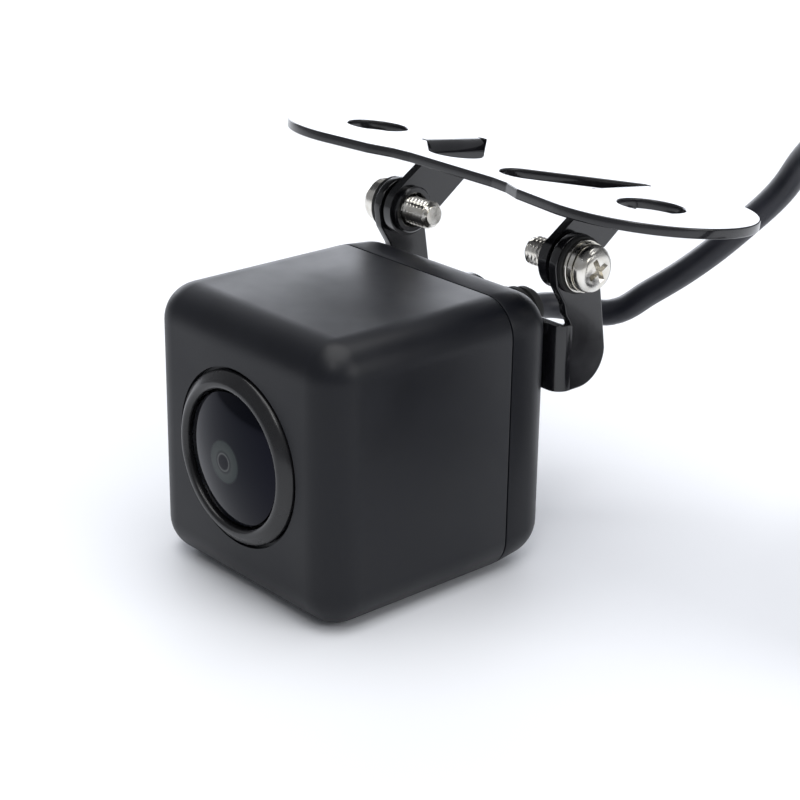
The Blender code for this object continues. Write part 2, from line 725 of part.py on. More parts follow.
def make_board(name, front):
    """A square board with corners cut away round the posts and two screw holes."""
    half_x, half_z = INNER_HALF_WIDTH - BOARD_CLEARANCE, INNER_HALF_HEIGHT - BOARD_CLEARANCE
    board = depth_box(name, half_x, -half_z, half_z, front, front + BOARD_THICK, board_laminate())
    notches = post_cutters(
        f"{name}_notch", POST_RADIUS + 2 * GAP, front - MM, front + BOARD_THICK + MM
    )
    for notch in notches:
        joined(board, notch)
    for side in (-1, 1):
        hole = rod(
            f"{name}_hole_{side}", BOARD_SCREW_RADIUS + BORE_GAP,
            -front - BOARD_THICK - MM, -front + MM, front_frame(side * BOARD_SCREW_X), steps=16,
        )
        joined(board, hole)


def make_electronics():
    make_board("sensor_board", SENSOR_BOARD_FRONT)
    make_board("main_board", MAIN_BOARD_FRONT)
    between = SENSOR_BOARD_BACK + GAP
    before_main = MAIN_BOARD_FRONT - GAP
    depth_box("board_connector", 5.5 * MM, 5.4 * MM, 8.6 * MM, between, before_main, connector_plastic())
    chip_front = before_main - 0.9 * MM
    depth_box("video_chip", 3.5 * MM, -4.5 * MM, 2.5 * MM, chip_front, before_main, chip_plastic())
    behind = MAIN_BOARD_BACK + GAP
    depth_box(
        "power_coil", 1.8 * MM, -8.6 * MM, -4.9 * MM, before_main - 2.0 * MM, before_main,
        chip_plastic(), x=4.4 * MM,
    )
    depth_box(
        "cord_header", 3.4 * MM, HEADER_TOP - 4.4 * MM, HEADER_TOP, behind, behind + 2.4 * MM,
        connector_plastic(),
    )
    corner = front_frame(-6.2 * MM, -6.0 * MM)
    rod("capacitor", 1.9 * MM, -behind - 2.9 * MM, -behind, corner, zinc_steel(), 20)
    for side, label in ((-1, "left"), (1, "right")):
        frame = front_frame(side * BOARD_SCREW_X)
        ring(
            f"board_spacer_{label}", BOARD_SCREW_RADIUS + BORE_GAP, SPACER_RADIUS,
            -between - SPACER_LENGTH, -between, frame, contact_brass(), 20,
        )
        head = behind + BOARD_SCREW_HEAD_HEIGHT
        tip = HOLDER_BACK - BOARD_SCREW_BITE
        profile = [
            (0, -tip), (BOARD_SCREW_RADIUS, -tip), (BOARD_SCREW_RADIUS, -behind),
            (BOARD_SCREW_HEAD_RADIUS, -behind), (BOARD_SCREW_HEAD_RADIUS, -head), (0, -head),
        ]
        turned(f"board_screw_{label}", profile, frame, zinc_steel(), 16)


# ---- brackets


def make_bracket():
    """One bent strip: a band across the body's rear face and two ears that carry the pivot."""
    inner = BRACKET_INNER_WIDTH / 2
    leg = BAND_BACK + BEND_RADIUS + GAP
    bend = (inner - BEND_RADIUS, BAND_BACK + BEND_RADIUS)
    outer_radius = BEND_RADIUS + SHEET
    right = arc(bend, outer_radius, -90, 0, 6) + [(inner + SHEET, leg), (inner, leg)]
    right += arc(bend, BEND_RADIUS, 0, -90, 4)
    band_points = right + [(-x, y) for x, y in reversed(right)]
    middle = BRACKET_BAND_BOTTOM + BRACKET_BAND_HEIGHT / 2
    top = BRACKET_BAND_BOTTOM + BRACKET_BAND_HEIGHT
    bracket = outline(
        "u_bracket", band_points, BRACKET_BAND_HEIGHT, Matrix.Translation((0, 0, middle)), painted_steel()
    )
    rear = BAND_FRONT + BRACKET_REACH
    start = BAND_BACK + BEND_RADIUS
    pivot = (PIVOT_Y, PIVOT_Z)
    neck_z = PIVOT_Z - 4.0 * MM
    ear_points = [(start, BRACKET_BAND_BOTTOM)]
    ear_points += arc(
        (rear - BRACKET_CORNER, BRACKET_BAND_BOTTOM + BRACKET_CORNER), BRACKET_CORNER, -90, 0, 6
    )
    ear_points += [(rear - 0.2 * MM, top - 2.2 * MM), (rear - 0.9 * MM, neck_z)]
    ear_points += arc(pivot, PIVOT_EAR_RADIUS, 0, 180, 16)
    ear_points += [
        (PIVOT_Y - 2.7 * MM, PIVOT_Z - 1.9 * MM),
        (PIVOT_Y - 1.4 * MM, neck_z),
        (PIVOT_Y - 1.2 * MM, neck_z - 1.0 * MM),
        (start, top),
    ]
    for side in (-1, 1):
        x = side * (inner + SHEET / 2)
        ear = outline(f"bracket_ear_{side}", ear_points, SHEET, frame_of((x, 0, 0), (0, 1, 0), (0, 0, 1)))
        joined(bracket, ear, "UNION", "MANIFOLD")
    boss = rod(
        "bracket_boss", BRACKET_BOSS_RADIUS, BAND_FRONT, BAND_BACK, rear_frame(0.0, GLAND_HEIGHT), steps=40
    )
    joined(bracket, boss, "UNION", "MANIFOLD")
    hole = rod(
        "bracket_cord_hole", GLAND_NECK_RADIUS + BORE_GAP, BAND_FRONT - MM, BAND_BACK + MM,
        rear_frame(0.0, GLAND_HEIGHT),
    )
    joined(bracket, hole, solver="MANIFOLD")
    for side in (-1, 1):
        hole = rod(
            f"bracket_screw_hole_{side}", BRACKET_SCREW_RADIUS + BORE_GAP, BAND_FRONT - MM, BAND_BACK + MM,
            rear_frame(side * BRACKET_SCREW_X, GLAND_HEIGHT), steps=20,
        )
        joined(bracket, hole, solver="MANIFOLD")
    reach = BRACKET_OUTER_X + MM
    pivot_hole = rod("bracket_pivot_hole", PIVOT_HOLE_RADIUS, -reach, reach, side_frame(1), steps=24)
    joined(bracket, pivot_hole, solver="MANIFOLD")
    head_front = BAND_BACK + FINE_GAP
    tip = REAR_Y - 2 * WALL + GAP
    profile = [
        (0, head_front + BRACKET_SCREW_HEAD_HEIGHT),
        (BRACKET_SCREW_HEAD_RADIUS * 0.7, head_front + BRACKET_SCREW_HEAD_HEIGHT),
        (BRACKET_SCREW_HEAD_RADIUS, head_front + BRACKET_SCREW_HEAD_HEIGHT * 0.6),
        (BRACKET_SCREW_HEAD_RADIUS, head_front),
        (BRACKET_SCREW_RADIUS, head_front),
        (BRACKET_SCREW_RADIUS, tip),
        (0, tip),
    ]
    for side, label in ((-1, "left"), (1, "right")):
        turned(
            f"bracket_screw_{label}", profile, rear_frame(side * BRACKET_SCREW_X, GLAND_HEIGHT),
            zinc_steel(), 20,
        )


def plate_frame():
    """The plate's own axes: X, then v up its slope to the rear, from the pivot."""
    frame = Matrix.Rotation(PLATE_TILT, 4, "X")
    frame.translation = Vector((0.0, PIVOT_Y, PIVOT_Z))
    return frame


def plate_outline():
    """Two round lobes joined by a narrower waist."""
    half = PLATE_LENGTH / 2
    lobe_u = half - PLATE_LOBE_RADIUS
    quarter = [
        (PLATE_WAIST_HALF_LENGTH, PLATE_WAIST / 2),
        (PLATE_WAIST_HALF_LENGTH + 2.4 * MM, PLATE_WAIST / 2 + 0.4 * MM),
        (PLATE_SHOULDER_U, PLATE_SHOULDER_WIDTH / 2),
    ]
    quarter += arc((lobe_u, 0.0), PLATE_LOBE_RADIUS, 100, 0, 16)
    right = quarter + [(u, -v) for u, v in reversed(quarter[:-1])]
    points = right + [(-u, -v) for u, v in right]
    return [(u, v + PLATE_CENTRE_V) for u, v in points]


def window_outline(side):
    """The opening left by an ear: the ear's own shape, folded up into the plate."""
    root_u = PLATE_EAR_X + SHEET + BEND_RADIUS
    fold_u = PLATE_EAR_X + SHEET / 2
    tip = (WINDOW_TIP_U, 0.0)
    front = (fold_u, PLATE_EAR_ROOT_FRONT - WINDOW_RELIEF)
    rear = (fold_u, PLATE_EAR_ROOT_REAR + WINDOW_RELIEF)
    rear_angle = tangent_point(rear, tip, WINDOW_TIP_RADIUS, 1)
    front_angle = tangent_point(front, tip, WINDOW_TIP_RADIUS, -1) + 360.0
    points = [(root_u, front[1]), (root_u, rear[1]), rear]
    points += arc(tip, WINDOW_TIP_RADIUS, rear_angle, front_angle, 12)
    points += [front]
    return [(side * u, v) for u, v in points]


def make_plate():
    """One bent sheet. Its cuts are thin and many, which the exact Boolean solver tears."""
    frame = plate_frame()
    top = PLATE_RISE
    middle = Matrix.Translation((0, 0, top - SHEET / 2))
    plate = outline("mounting_plate", plate_outline(), SHEET, frame @ middle, painted_steel())
    root = top - SHEET - BEND_RADIUS
    front, rear = (PLATE_EAR_ROOT_FRONT, root), (PLATE_EAR_ROOT_REAR, root)
    front_angle = tangent_point(front, (0.0, 0.0), PLATE_EAR_RADIUS, 1)
    rear_angle = tangent_point(rear, (0.0, 0.0), PLATE_EAR_RADIUS, -1)
    ear_points = [(rear[0], top + MM), (front[0], top + MM), front]
    ear_points += arc((0.0, 0.0), PLATE_EAR_RADIUS, front_angle, rear_angle + 360.0, 16) + [rear]
    for side, label in ((-1, "left"), (1, "right")):
        hole = rod(
            f"plate_hole_{label}", PLATE_HOLE_RADIUS, top - 2 * SHEET, top + SHEET,
            frame @ Matrix.Translation((side * PLATE_HOLE_U, PLATE_CENTRE_V + PLATE_HOLE_V, 0)),
        )
        joined(plate, hole, solver="MANIFOLD")
        window = outline(f"plate_window_{label}", window_outline(side), 3 * SHEET, frame @ middle)
        joined(plate, window, solver="MANIFOLD")
        bend_u = PLATE_EAR_X + SHEET + BEND_RADIUS
        overlap, below = 0.1 * MM, -2 * PLATE_EAR_RADIUS
        points = [(bend_u + overlap, top)] + arc((bend_u, root), BEND_RADIUS + SHEET, 90, 180, 6)
        points += [(PLATE_EAR_X, below), (PLATE_EAR_X + SHEET, below)]
        points += arc((bend_u, root), BEND_RADIUS, 180, 90, 4) + [(bend_u + overlap, top - SHEET)]
        points = [(side * u, n) for u, n in points]
        ear = outline(
            f"plate_ear_{label}", points, 4 * PLATE_LOBE_RADIUS,
            frame @ frame_of((0, 0, 0), (1, 0, 0), (0, 0, 1)),
        )
        silhouette = outline(
            f"plate_ear_silhouette_{label}", ear_points, PLATE_LENGTH,
            frame @ frame_of((0, 0, 0), (0, 1, 0), (0, 0, 1)),
        )
        joined(ear, silhouette, "INTERSECT", "MANIFOLD")
        joined(plate, ear, "UNION", "MANIFOLD")
        collar = rod(
            f"plate_collar_{label}", COLLAR_RADIUS, PLATE_EAR_X - COLLAR_LENGTH, PLATE_EAR_X + SHEET / 2,
            side_frame(side), steps=24,
        )
        joined(plate, collar, "UNION", "MANIFOLD")
        thread = rod(
            f"plate_thread_{label}", PIVOT_HOLE_RADIUS, PLATE_EAR_X - COLLAR_LENGTH - MM,
            PLATE_EAR_X + SHEET + MM, side_frame(side), steps=24,
        )
        joined(plate, thread, solver="MANIFOLD")


def make_pivot_hardware():
    """On each side, from the bracket's ear outward: friction, flat and spring washers, and the screw."""
    washers = [
        ("friction_washer", FRICTION_WASHER_RADIUS, FRICTION_WASHER_THICK, seal_rubber()),
        ("flat_washer", FLAT_WASHER_RADIUS, FLAT_WASHER_THICK, nickel()),
        ("spring_washer", SPRING_WASHER_RADIUS, SPRING_WASHER_THICK, nickel()),
    ]
    for side, label in ((-1, "left"), (1, "right")):
        frame = side_frame(side)
        x = BRACKET_OUTER_X
        for name, radius, thick, look in washers:
            x += FINE_GAP
            ring(f"{name}_{label}", PIVOT_HOLE_RADIUS, radius, x, x + thick, frame, look, 20)
            x += thick
        x += FINE_GAP
        head = x + PIVOT_HEAD_HEIGHT
        profile = [
            (0, head),
            (PIVOT_HEAD_RADIUS - 0.9 * MM, head),
            (PIVOT_HEAD_RADIUS - 0.2 * MM, head - 0.3 * MM),
            (PIVOT_HEAD_RADIUS, head - 0.8 * MM),
            (PIVOT_HEAD_RADIUS, x),
            (PIVOT_SCREW_RADIUS, x),
            (PIVOT_SCREW_RADIUS, PIVOT_SCREW_TIP_X + 0.3 * MM),
            (PIVOT_SCREW_RADIUS - 0.3 * MM, PIVOT_SCREW_TIP_X),
            (0, PIVOT_SCREW_TIP_X),
        ]
        turned(f"pivot_screw_{label}", profile, frame, nickel(), 20)


# ---- cord


def smooth_route(points, spacing):
    """Evenly read points of a Catmull-Rom curve through the given ones."""
    ends = [points[0] * 2 - points[1], *points, points[-1] * 2 - points[-2]]
    fine = []
    for a, b, c, d in zip(ends, ends[1:], ends[2:], ends[3:]):
        for i in range(24):
            t = i / 24
            fine.append(
                b
                + 0.5 * (c - a) * t
                + 0.5 * (2 * a - 5 * b + 4 * c - d) * t**2
                + 0.5 * (3 * b - a - 3 * c + d) * t**3
            )
    fine.append(points[-1])
    total = sum((q - p).length for p, q in zip(fine, fine[1:]))
    count = max(2, round(total / spacing))
    result, walked, wanted = [fine[0]], 0.0, total / count
    for p, q in zip(fine, fine[1:]):
        step = (q - p).length
        while walked + step >= wanted and len(result) < count:
            result.append(p.lerp(q, (wanted - walked) / step))
            wanted += total / count
        walked += step
    result.append(fine[-1])
    return result


def tube(name, points, radius, look):
    curve = bpy.data.curves.new(name, "CURVE")
    curve.dimensions = "3D"
    curve.bevel_depth = radius
    curve.bevel_resolution = 2
    curve.use_fill_caps = True
    spline = curve.splines.new("POLY")
    spline.points.add(len(points) - 1)
    for place, point in zip(spline.points, points):
        place.co = (*point, 1.0)
    curve.materials.append(look)
    obj = bpy.data.objects.new(name, curve)
    PARTS.objects.link(obj)
    return obj


def coil_point(angle, radius, height):
    return Vector((COIL_X + radius * math.cos(angle), COIL_Y + radius * math.sin(angle), height))


def coil_entry():
    """The last points of the first tube: tangent to the coil, and coming down to its top layer."""
    radius = COIL_RADIUS - COIL_COLUMN
    turn = coil_point(COIL_START, radius, 0.0)
    along = Vector((-math.sin(COIL_START), math.cos(COIL_START), 0.0))
    return [
        turn - along * 12.5 * MM + Vector((0, 0, COIL_HEIGHT + 6.6 * MM)),
        turn - along * 7.0 * MM + Vector((0, 0, COIL_HEIGHT + CORD_RADIUS + 2 * GAP)),
    ]


def coil_exit():
    """The tail's first points: it leaves the bottom of the coil's outer column along a tangent."""
    radius = COIL_RADIUS + COIL_COLUMN
    turn = coil_point(COIL_END, radius, CORD_RADIUS + 0.05 * MM)
    along = Vector((-math.sin(COIL_END), math.cos(COIL_END), 0.0))
    return turn + along * TAIL_RUN, along


def make_gland():
    """A rubber strain relief: a flange inside the cover, a neck through it, and a tapered tail."""
    inside = REAR_Y - WALL - GAP
    bore = CORD_RADIUS + BORE_GAP
    tail = BAND_BACK + GAP
    profile = [
        (bore, tail + GLAND_TAIL_LENGTH),
        (GLAND_TIP_RADIUS, tail + GLAND_TAIL_LENGTH),
        (GLAND_TAIL_RADIUS, tail + 1.2 * MM),
        (GLAND_TAIL_RADIUS, tail),
        (GLAND_NECK_RADIUS, tail),
        (GLAND_NECK_RADIUS, inside),
        (GLAND_FLANGE_RADIUS, inside),
        (GLAND_FLANGE_RADIUS, inside - GLAND_FLANGE_THICK),
        (bore, inside - GLAND_FLANGE_THICK),
    ]
    turned("cable_gland", profile, rear_frame(0.0, GLAND_HEIGHT), seal_rubber(), 24)


def in_metres(route):
    return [Vector(point) * MM for point in route]


def make_cord():
    inner_end = REAR_Y - WALL - GAP - GLAND_FLANGE_THICK - GAP
    tip = BAND_BACK + GAP + GLAND_TAIL_LENGTH
    straight = [Vector((0.0, y, GLAND_HEIGHT)) for y in (inner_end, (inner_end + tip) / 2, tip)]
    points = [*straight, *in_metres(ROUTE), *coil_entry()]
    tube("cord", smooth_route(points, 2.2 * 2 * CORD_RADIUS), CORD_RADIUS, cord_jacket())


def make_inner_leads():
    """The cord's wires, from its end inside the cover down to the header."""
    start_y = REAR_Y - WALL - 2 * GAP - GLAND_FLANGE_THICK - GAP
    run_y = FRONT_Y + MAIN_BOARD_BACK + LEADS_RADIUS + GAP
    header_top = AXIS_Z + HEADER_TOP
    leads = [
        Vector((0.0, start_y, GLAND_HEIGHT)),
        Vector((0.0, start_y - 0.5 * MM, GLAND_HEIGHT)),
        Vector((0.0, run_y, GLAND_HEIGHT - 1.0 * MM)),
        Vector((0.0, run_y, (GLAND_HEIGHT + header_top) / 2)),
        Vector((0.0, run_y, header_top + GAP)),
    ]
    tube("inner_leads", smooth_route(leads, LEADS_RADIUS), LEADS_RADIUS, cord_jacket())


def make_coil():
    inner, outer = COIL_RADIUS - COIL_HALF_WIDTH, COIL_RADIUS + COIL_HALF_WIDTH
    soft = 0.8 * MM
    profile = [
        (inner + soft, COIL_HEIGHT), (outer - soft, COIL_HEIGHT), (outer, COIL_HEIGHT - soft),
        (outer, soft), (outer - soft, 0), (inner + soft, 0), (inner, soft), (inner, COIL_HEIGHT - soft),
    ]
    coil = turned("cord_coil", profile, Matrix.Translation((COIL_X, COIL_Y, 0)), cord_jacket(), 36)
    frame = Matrix.Translation((COIL_X, COIL_Y, 0)) @ Matrix.Rotation(TIE_ANGLE, 4, "Z")
    half = TIE_WIDTH / 2
    step = TIE_THICK + GAP
    slot = box("tie_slot", (0, -half - GAP, -MM), (outer + MM, half + GAP, step))
    slot.matrix_world = frame
    joined(coil, slot)
    low, high = (inner - step, -half, 0.0), (outer + step, half, COIL_HEIGHT + step)
    tie = box("cord_tie", low, high, connector_plastic(), 0.8 * MM, axis=1)
    tie.matrix_world = frame
    low, high = (inner - GAP, -half - MM, TIE_THICK), (outer + GAP, half + MM, COIL_HEIGHT + GAP)
    opening = box("tie_opening", low, high)
    opening.matrix_world = frame
    joined(tie, opening)


def make_connector():
    """A plug with a tapered boot, lying on the floor beside the coil, and its insert and pins."""
    start, along = coil_exit()
    height = CONNECTOR_RADIUS
    boot = [Vector((CONNECTOR_X, BOOT_Y + y, height)) for y in (0.0, BOOT_LENGTH - MM)]
    tail = [start, *in_metres(TAIL_ROUTE), *boot]
    tube("cord_tail", smooth_route(tail, 2.0 * CORD_RADIUS), CORD_RADIUS, cord_jacket())
    frame = rear_frame(CONNECTOR_X, height, BOOT_Y)
    end = BOOT_LENGTH + CONNECTOR_LENGTH
    floor = end - CONNECTOR_SOCKET_DEPTH
    bore = CORD_RADIUS + BORE_GAP
    socket = CONNECTOR_RADIUS - CONNECTOR_WALL
    profile = [
        (0, floor),
        (socket, floor),
        (socket, end),
        (CONNECTOR_RADIUS, end),
        (CONNECTOR_RADIUS, BOOT_LENGTH),
        (CONNECTOR_RADIUS - 0.9 * MM, BOOT_LENGTH - 0.9 * MM),
        (CORD_RADIUS + 0.9 * MM, 0),
        (bore, 0),
        (bore, BOOT_LENGTH - MM + GAP),
        (0, BOOT_LENGTH - MM + GAP),
    ]
    turned("connector_body", profile, frame, connector_plastic(), 24)
    insert_front = floor + GAP + INSERT_THICK
    insert = rod("connector_insert", socket - GAP, floor + GAP, insert_front, frame, contact_insert(), 20)
    for i in range(4):
        angle = math.radians(45.0 + 90.0 * i)
        place = Matrix.Translation(
            (PIN_CIRCLE_RADIUS * math.cos(angle), PIN_CIRCLE_RADIUS * math.sin(angle), 0)
        )
        hole = rod(
            f"pin_hole_{i}", PIN_RADIUS + BORE_GAP, floor - GAP, insert_front + GAP, frame @ place, steps=12
        )
        joined(insert, hole)
        pin_back = floor + GAP
        rod(
            f"connector_pin_{i + 1}", PIN_RADIUS, pin_back, pin_back + PIN_LENGTH, frame @ place,
            contact_brass(), 10,
        )


make_front_shell()
make_rear_cover()
make_cover_screws()
make_case_seal()
make_lens()
make_lens_holder()
make_sensor()
make_electronics()
make_bracket()
make_plate()
make_pivot_hardware()
make_gland()
make_cord()
make_inner_leads()
make_coil()
make_connector()
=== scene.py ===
import json
import math

import bmesh
import bpy
from mathutils import Matrix, Vector

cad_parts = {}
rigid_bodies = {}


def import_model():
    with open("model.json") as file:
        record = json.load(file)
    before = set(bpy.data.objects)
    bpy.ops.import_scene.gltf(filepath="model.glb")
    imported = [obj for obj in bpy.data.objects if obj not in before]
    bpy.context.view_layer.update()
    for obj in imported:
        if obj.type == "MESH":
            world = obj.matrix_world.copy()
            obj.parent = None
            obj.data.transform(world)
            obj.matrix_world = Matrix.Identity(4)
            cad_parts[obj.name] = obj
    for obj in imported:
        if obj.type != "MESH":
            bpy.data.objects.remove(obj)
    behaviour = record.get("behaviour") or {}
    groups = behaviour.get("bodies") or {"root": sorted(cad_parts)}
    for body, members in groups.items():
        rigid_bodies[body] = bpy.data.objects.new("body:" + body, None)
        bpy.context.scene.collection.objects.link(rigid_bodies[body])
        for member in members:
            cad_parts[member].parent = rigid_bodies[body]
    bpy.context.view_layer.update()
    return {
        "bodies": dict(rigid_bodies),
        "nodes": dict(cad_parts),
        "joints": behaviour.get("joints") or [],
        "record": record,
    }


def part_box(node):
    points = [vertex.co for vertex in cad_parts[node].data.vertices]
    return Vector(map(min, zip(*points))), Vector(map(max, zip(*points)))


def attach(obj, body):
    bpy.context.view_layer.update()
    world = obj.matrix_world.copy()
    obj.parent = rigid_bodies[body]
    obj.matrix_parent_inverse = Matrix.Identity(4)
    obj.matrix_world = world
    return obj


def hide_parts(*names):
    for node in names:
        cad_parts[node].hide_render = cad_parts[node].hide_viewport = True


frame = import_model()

MM = 0.001

# Places from the frame
SHELL_LOW, SHELL_HIGH = (Vector(corner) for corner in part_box("front_shell"))
COVER_LOW, COVER_HIGH = (Vector(corner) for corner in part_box("rear_cover"))
COIL_LOW, COIL_HIGH = (Vector(corner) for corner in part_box("cord_coil"))
CONNECTOR_LOW, CONNECTOR_HIGH = (Vector(corner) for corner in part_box("connector_body"))
GLAND_LOW, GLAND_HIGH = (Vector(corner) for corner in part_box("cable_gland"))
JOINTS = {joint["name"]: joint for joint in frame["record"]["behaviour"]["joints"]}
PIVOT = Vector(JOINTS["plate_tilt"]["pos_m"])
AXIS_Z = (SHELL_LOW.z + SHELL_HIGH.z) / 2
GLAND_Z = (GLAND_LOW.z + GLAND_HIGH.z) / 2

CAMERA_BODY = "camera_body"
PLATE_BODY = "plate_assembly"


# ---- camera


CAMERA_AZIMUTH = math.radians(48.373)
CAMERA_ELEVATION = math.radians(21.74)
CAMERA_ROLL = math.radians(0.836)
CAMERA_PLACE = (0.14124, -0.11948, 0.09037)
FOCAL_LENGTH = 90.05  # on a 36 mm wide sensor


def make_camera():
    """The photograph's viewpoint: 48 degrees round to the right, 22 up, with a slight roll."""
    azimuth, elevation, roll = CAMERA_AZIMUTH, CAMERA_ELEVATION, CAMERA_ROLL
    back = Vector(
        (
            math.sin(azimuth) * math.cos(elevation),
            -math.cos(azimuth) * math.cos(elevation),
            math.sin(elevation),
        )
    )
    right = Vector((math.cos(azimuth), math.sin(azimuth), 0.0))
    up = back.cross(right)
    rolled_right = math.cos(roll) * right + math.sin(roll) * up
    rolled_up = -math.sin(roll) * right + math.cos(roll) * up
    data = bpy.data.cameras.new("camera")
    data.lens = FOCAL_LENGTH
    data.sensor_width = 36.0
    data.clip_start = 0.005
    data.clip_end = 20.0
    camera = bpy.data.objects.new("camera", data)
    matrix = Matrix((rolled_right, rolled_up, back)).transposed().to_4x4()
    matrix.translation = Vector(CAMERA_PLACE)
    camera.matrix_world = matrix
    bpy.context.scene.collection.objects.link(camera)
    bpy.context.scene.camera = camera


make_camera()


# ---- cord

CORD_DIAMETER = 2.8 * MM
# Points listed in millimetres: from the strain relief over to the coil
ROUTE = [
    (0.5, 27.4, 20.7),
    (2.2, 30.0, 20.1),
    (5.0, 31.7, 20.2),
    (9.0, 33.1, 23.2),
    (14.0, 34.6, 27.5),
    (19.2, 35.6, 32.8),
    (22.6, 35.9, 36.6),
    (26.0, 35.0, 41.0),
    (30.6, 32.6, 44.6),
    (36.2, 28.8, 45.0),
    (41.3, 24.7, 40.4),
    (44.8, 21.2, 32.6),
    (46.9, 18.9, 24.0),
]
# ... and from the coil to the connector's boot
TAIL_ROUTE = [
    (66.4, 20.0, 1.45),
    (70.8, 20.4, 1.5),
    (75.6, 22.6, 2.1),
    (78.2, 26.3, 3.5),
]
COIL_CENTRE = (COIL_LOW + COIL_HIGH) / 2
COIL_RADIUS = 15.5 * MM
COIL_PITCH = 2.85 * MM
COIL_TOP = COIL_HIGH.z
COIL_START = -60.0  # angles of the coil are in degrees
COIL_SLOTS = [(-1, 2), (1, 2), (1, 1), (-1, 1), (-1, 0), (1, 0)]  # column, layer
COIL_STEPS = [220.0 - 50.0 * i for i in range(5)]  # where each turn moves to the next slot
STEP_WIDTH = 44.0
COIL_SWEEP = 5 * 360.0 - 35.0
TURN_POINTS = 18
ENTRY_SWEEP = 14.0  # the coil's first point lies this far round from its start
TIE_ANGLE = 150.0
TIE_LIFT = 0.75 * MM  # the lowest layer rises over the tie
TIE_SPREAD = 16.0
FLOOR_GAP = 0.05 * MM
GLAND_LEAD = 5.0 * MM  # how far the cord runs inside the strain relief
BOOT_LEAD = 8.0 * MM  # and inside the connector's boot


def ease(t):
    t = min(1.0, max(0.0, t))
    return t * t * (3.0 - 2.0 * t)


def slot_place(column, layer):
    return (
        COIL_RADIUS + column * COIL_PITCH / 2,
        CORD_DIAMETER / 2 + FLOOR_GAP + layer * COIL_PITCH,
    )


def coil_point(swept):
    """A point of the coil: turns that step from slot to slot, each a little earlier than the last."""
    radius, height = slot_place(*COIL_SLOTS[0])
    for i in range(1, len(COIL_SLOTS)):
        start = 360.0 * (i - 1) - COIL_START + COIL_STEPS[i - 1]
        t = ease((swept - start) / STEP_WIDTH)
        goal = slot_place(*COIL_SLOTS[i])
        radius += (goal[0] - radius) * t
        height += (goal[1] - height) * t
    angle = math.radians(COIL_START + swept)
    from_tie = (COIL_START + swept - TIE_ANGLE + 180.0) % 360.0 - 180.0
    lift = TIE_LIFT * math.exp(-((from_tie / TIE_SPREAD) ** 2))
    height += lift * max(0.0, 1.0 - (height - CORD_DIAMETER / 2) / COIL_PITCH)
    return Vector(
        (COIL_CENTRE.x + radius * math.cos(angle), COIL_CENTRE.y + radius * math.sin(angle), height)
    )


def cord_points():
    """The whole cord: out of the strain relief, over to the coil, round it, and into the connector."""
    straight = [Vector((0.0, y, GLAND_Z)) for y in (GLAND_HIGH.y - GLAND_LEAD, GLAND_HIGH.y)]
    start = math.radians(COIL_START)
    along = Vector((-math.sin(start), math.cos(start), 0.0))
    radius, height = slot_place(*COIL_SLOTS[0])
    turn = Vector((COIL_CENTRE.x + radius * math.cos(start), COIL_CENTRE.y + radius * math.sin(start), 0.0))
    entry = [
        turn - along * 12.5 * MM + Vector((0, 0, COIL_TOP + 6.6 * MM)),
        turn - along * 7.0 * MM + Vector((0, 0, COIL_TOP + CORD_DIAMETER / 2 + 0.6 * MM)),
        turn - along * 1.5 * MM + Vector((0, 0, height + 0.9 * MM)),
    ]
    count = round(COIL_SWEEP / 360.0 * TURN_POINTS)
    turns = [coil_point(ENTRY_SWEEP + (COIL_SWEEP - ENTRY_SWEEP) * i / count) for i in range(count + 1)]
    axis_x = (CONNECTOR_LOW.x + CONNECTOR_HIGH.x) / 2
    axis_z = (CONNECTOR_LOW.z + CONNECTOR_HIGH.z) / 2
    boot = [Vector((axis_x, CONNECTOR_LOW.y + y, axis_z)) for y in (0.0, BOOT_LEAD)]
    route = [Vector(point) * MM for point in ROUTE]
    tail = [Vector(point) * MM for point in TAIL_ROUTE]
    return [*straight, *route, *entry, *turns, *tail, *boot]


# ---- materials


def material(name):
    made = bpy.data.materials.new(name)
    made.use_nodes = True
    return made


def nodes_of(made):
    tree = made.node_tree
    return tree, tree.nodes["Principled BSDF"]


def link(tree, out, into):
    tree.links.new(out, into)


def coordinates(tree):
    return tree.nodes.new("ShaderNodeTexCoord").outputs["Object"]


def noise(tree, vector, scale, detail=3.0):
    node = tree.nodes.new("ShaderNodeTexNoise")
    node.inputs["Scale"].default_value = scale
    node.inputs["Detail"].default_value = detail
    link(tree, vector, node.inputs["Vector"])
    return node.outputs["Fac"]


def ranged(tree, value, low, high, from_low=0.3, from_high=0.7):
    node = tree.nodes.new("ShaderNodeMapRange")
    node.inputs["From Min"].default_value = from_low
    node.inputs["From Max"].default_value = from_high
    node.inputs["To Min"].default_value = low
    node.inputs["To Max"].default_value = high
    link(tree, value, node.inputs["Value"])
    return node.outputs["Result"]


def ramp(tree, value, dark, light):
    node = tree.nodes.new("ShaderNodeValToRGB")
    first, last = node.color_ramp.elements
    first.position, last.position = 0.35, 0.7
    first.color, last.color = (*dark, 1.0), (*light, 1.0)
    link(tree, value, node.inputs["Fac"])
    return node.outputs["Color"]


def bump(tree, shader, height, strength, distance):
    node = tree.nodes.new("ShaderNodeBump")
    node.inputs["Strength"].default_value = strength
    node.inputs["Distance"].default_value = distance
    link(tree, height, node.inputs["Height"])
    link(tree, node.outputs["Normal"], shader.inputs["Normal"])


def surface(name, dark, light, rough, grain, blotch, bump_distance, **sockets):
    """A material with blotches of colour and roughness, and a fine bumpy grain."""
    made = material(name)
    tree, shader = nodes_of(made)
    vector = coordinates(tree)
    wide = noise(tree, vector, blotch)
    fine = noise(tree, vector, grain, 2.0)
    link(tree, ramp(tree, wide, dark, light), shader.inputs["Base Color"])
    link(tree, ranged(tree, wide, *rough), shader.inputs["Roughness"])
    bump(tree, shader, fine, 0.5, bump_distance)
    for socket, value in sockets.items():
        shader.inputs[socket.replace("_", " ")].default_value = value
    return made


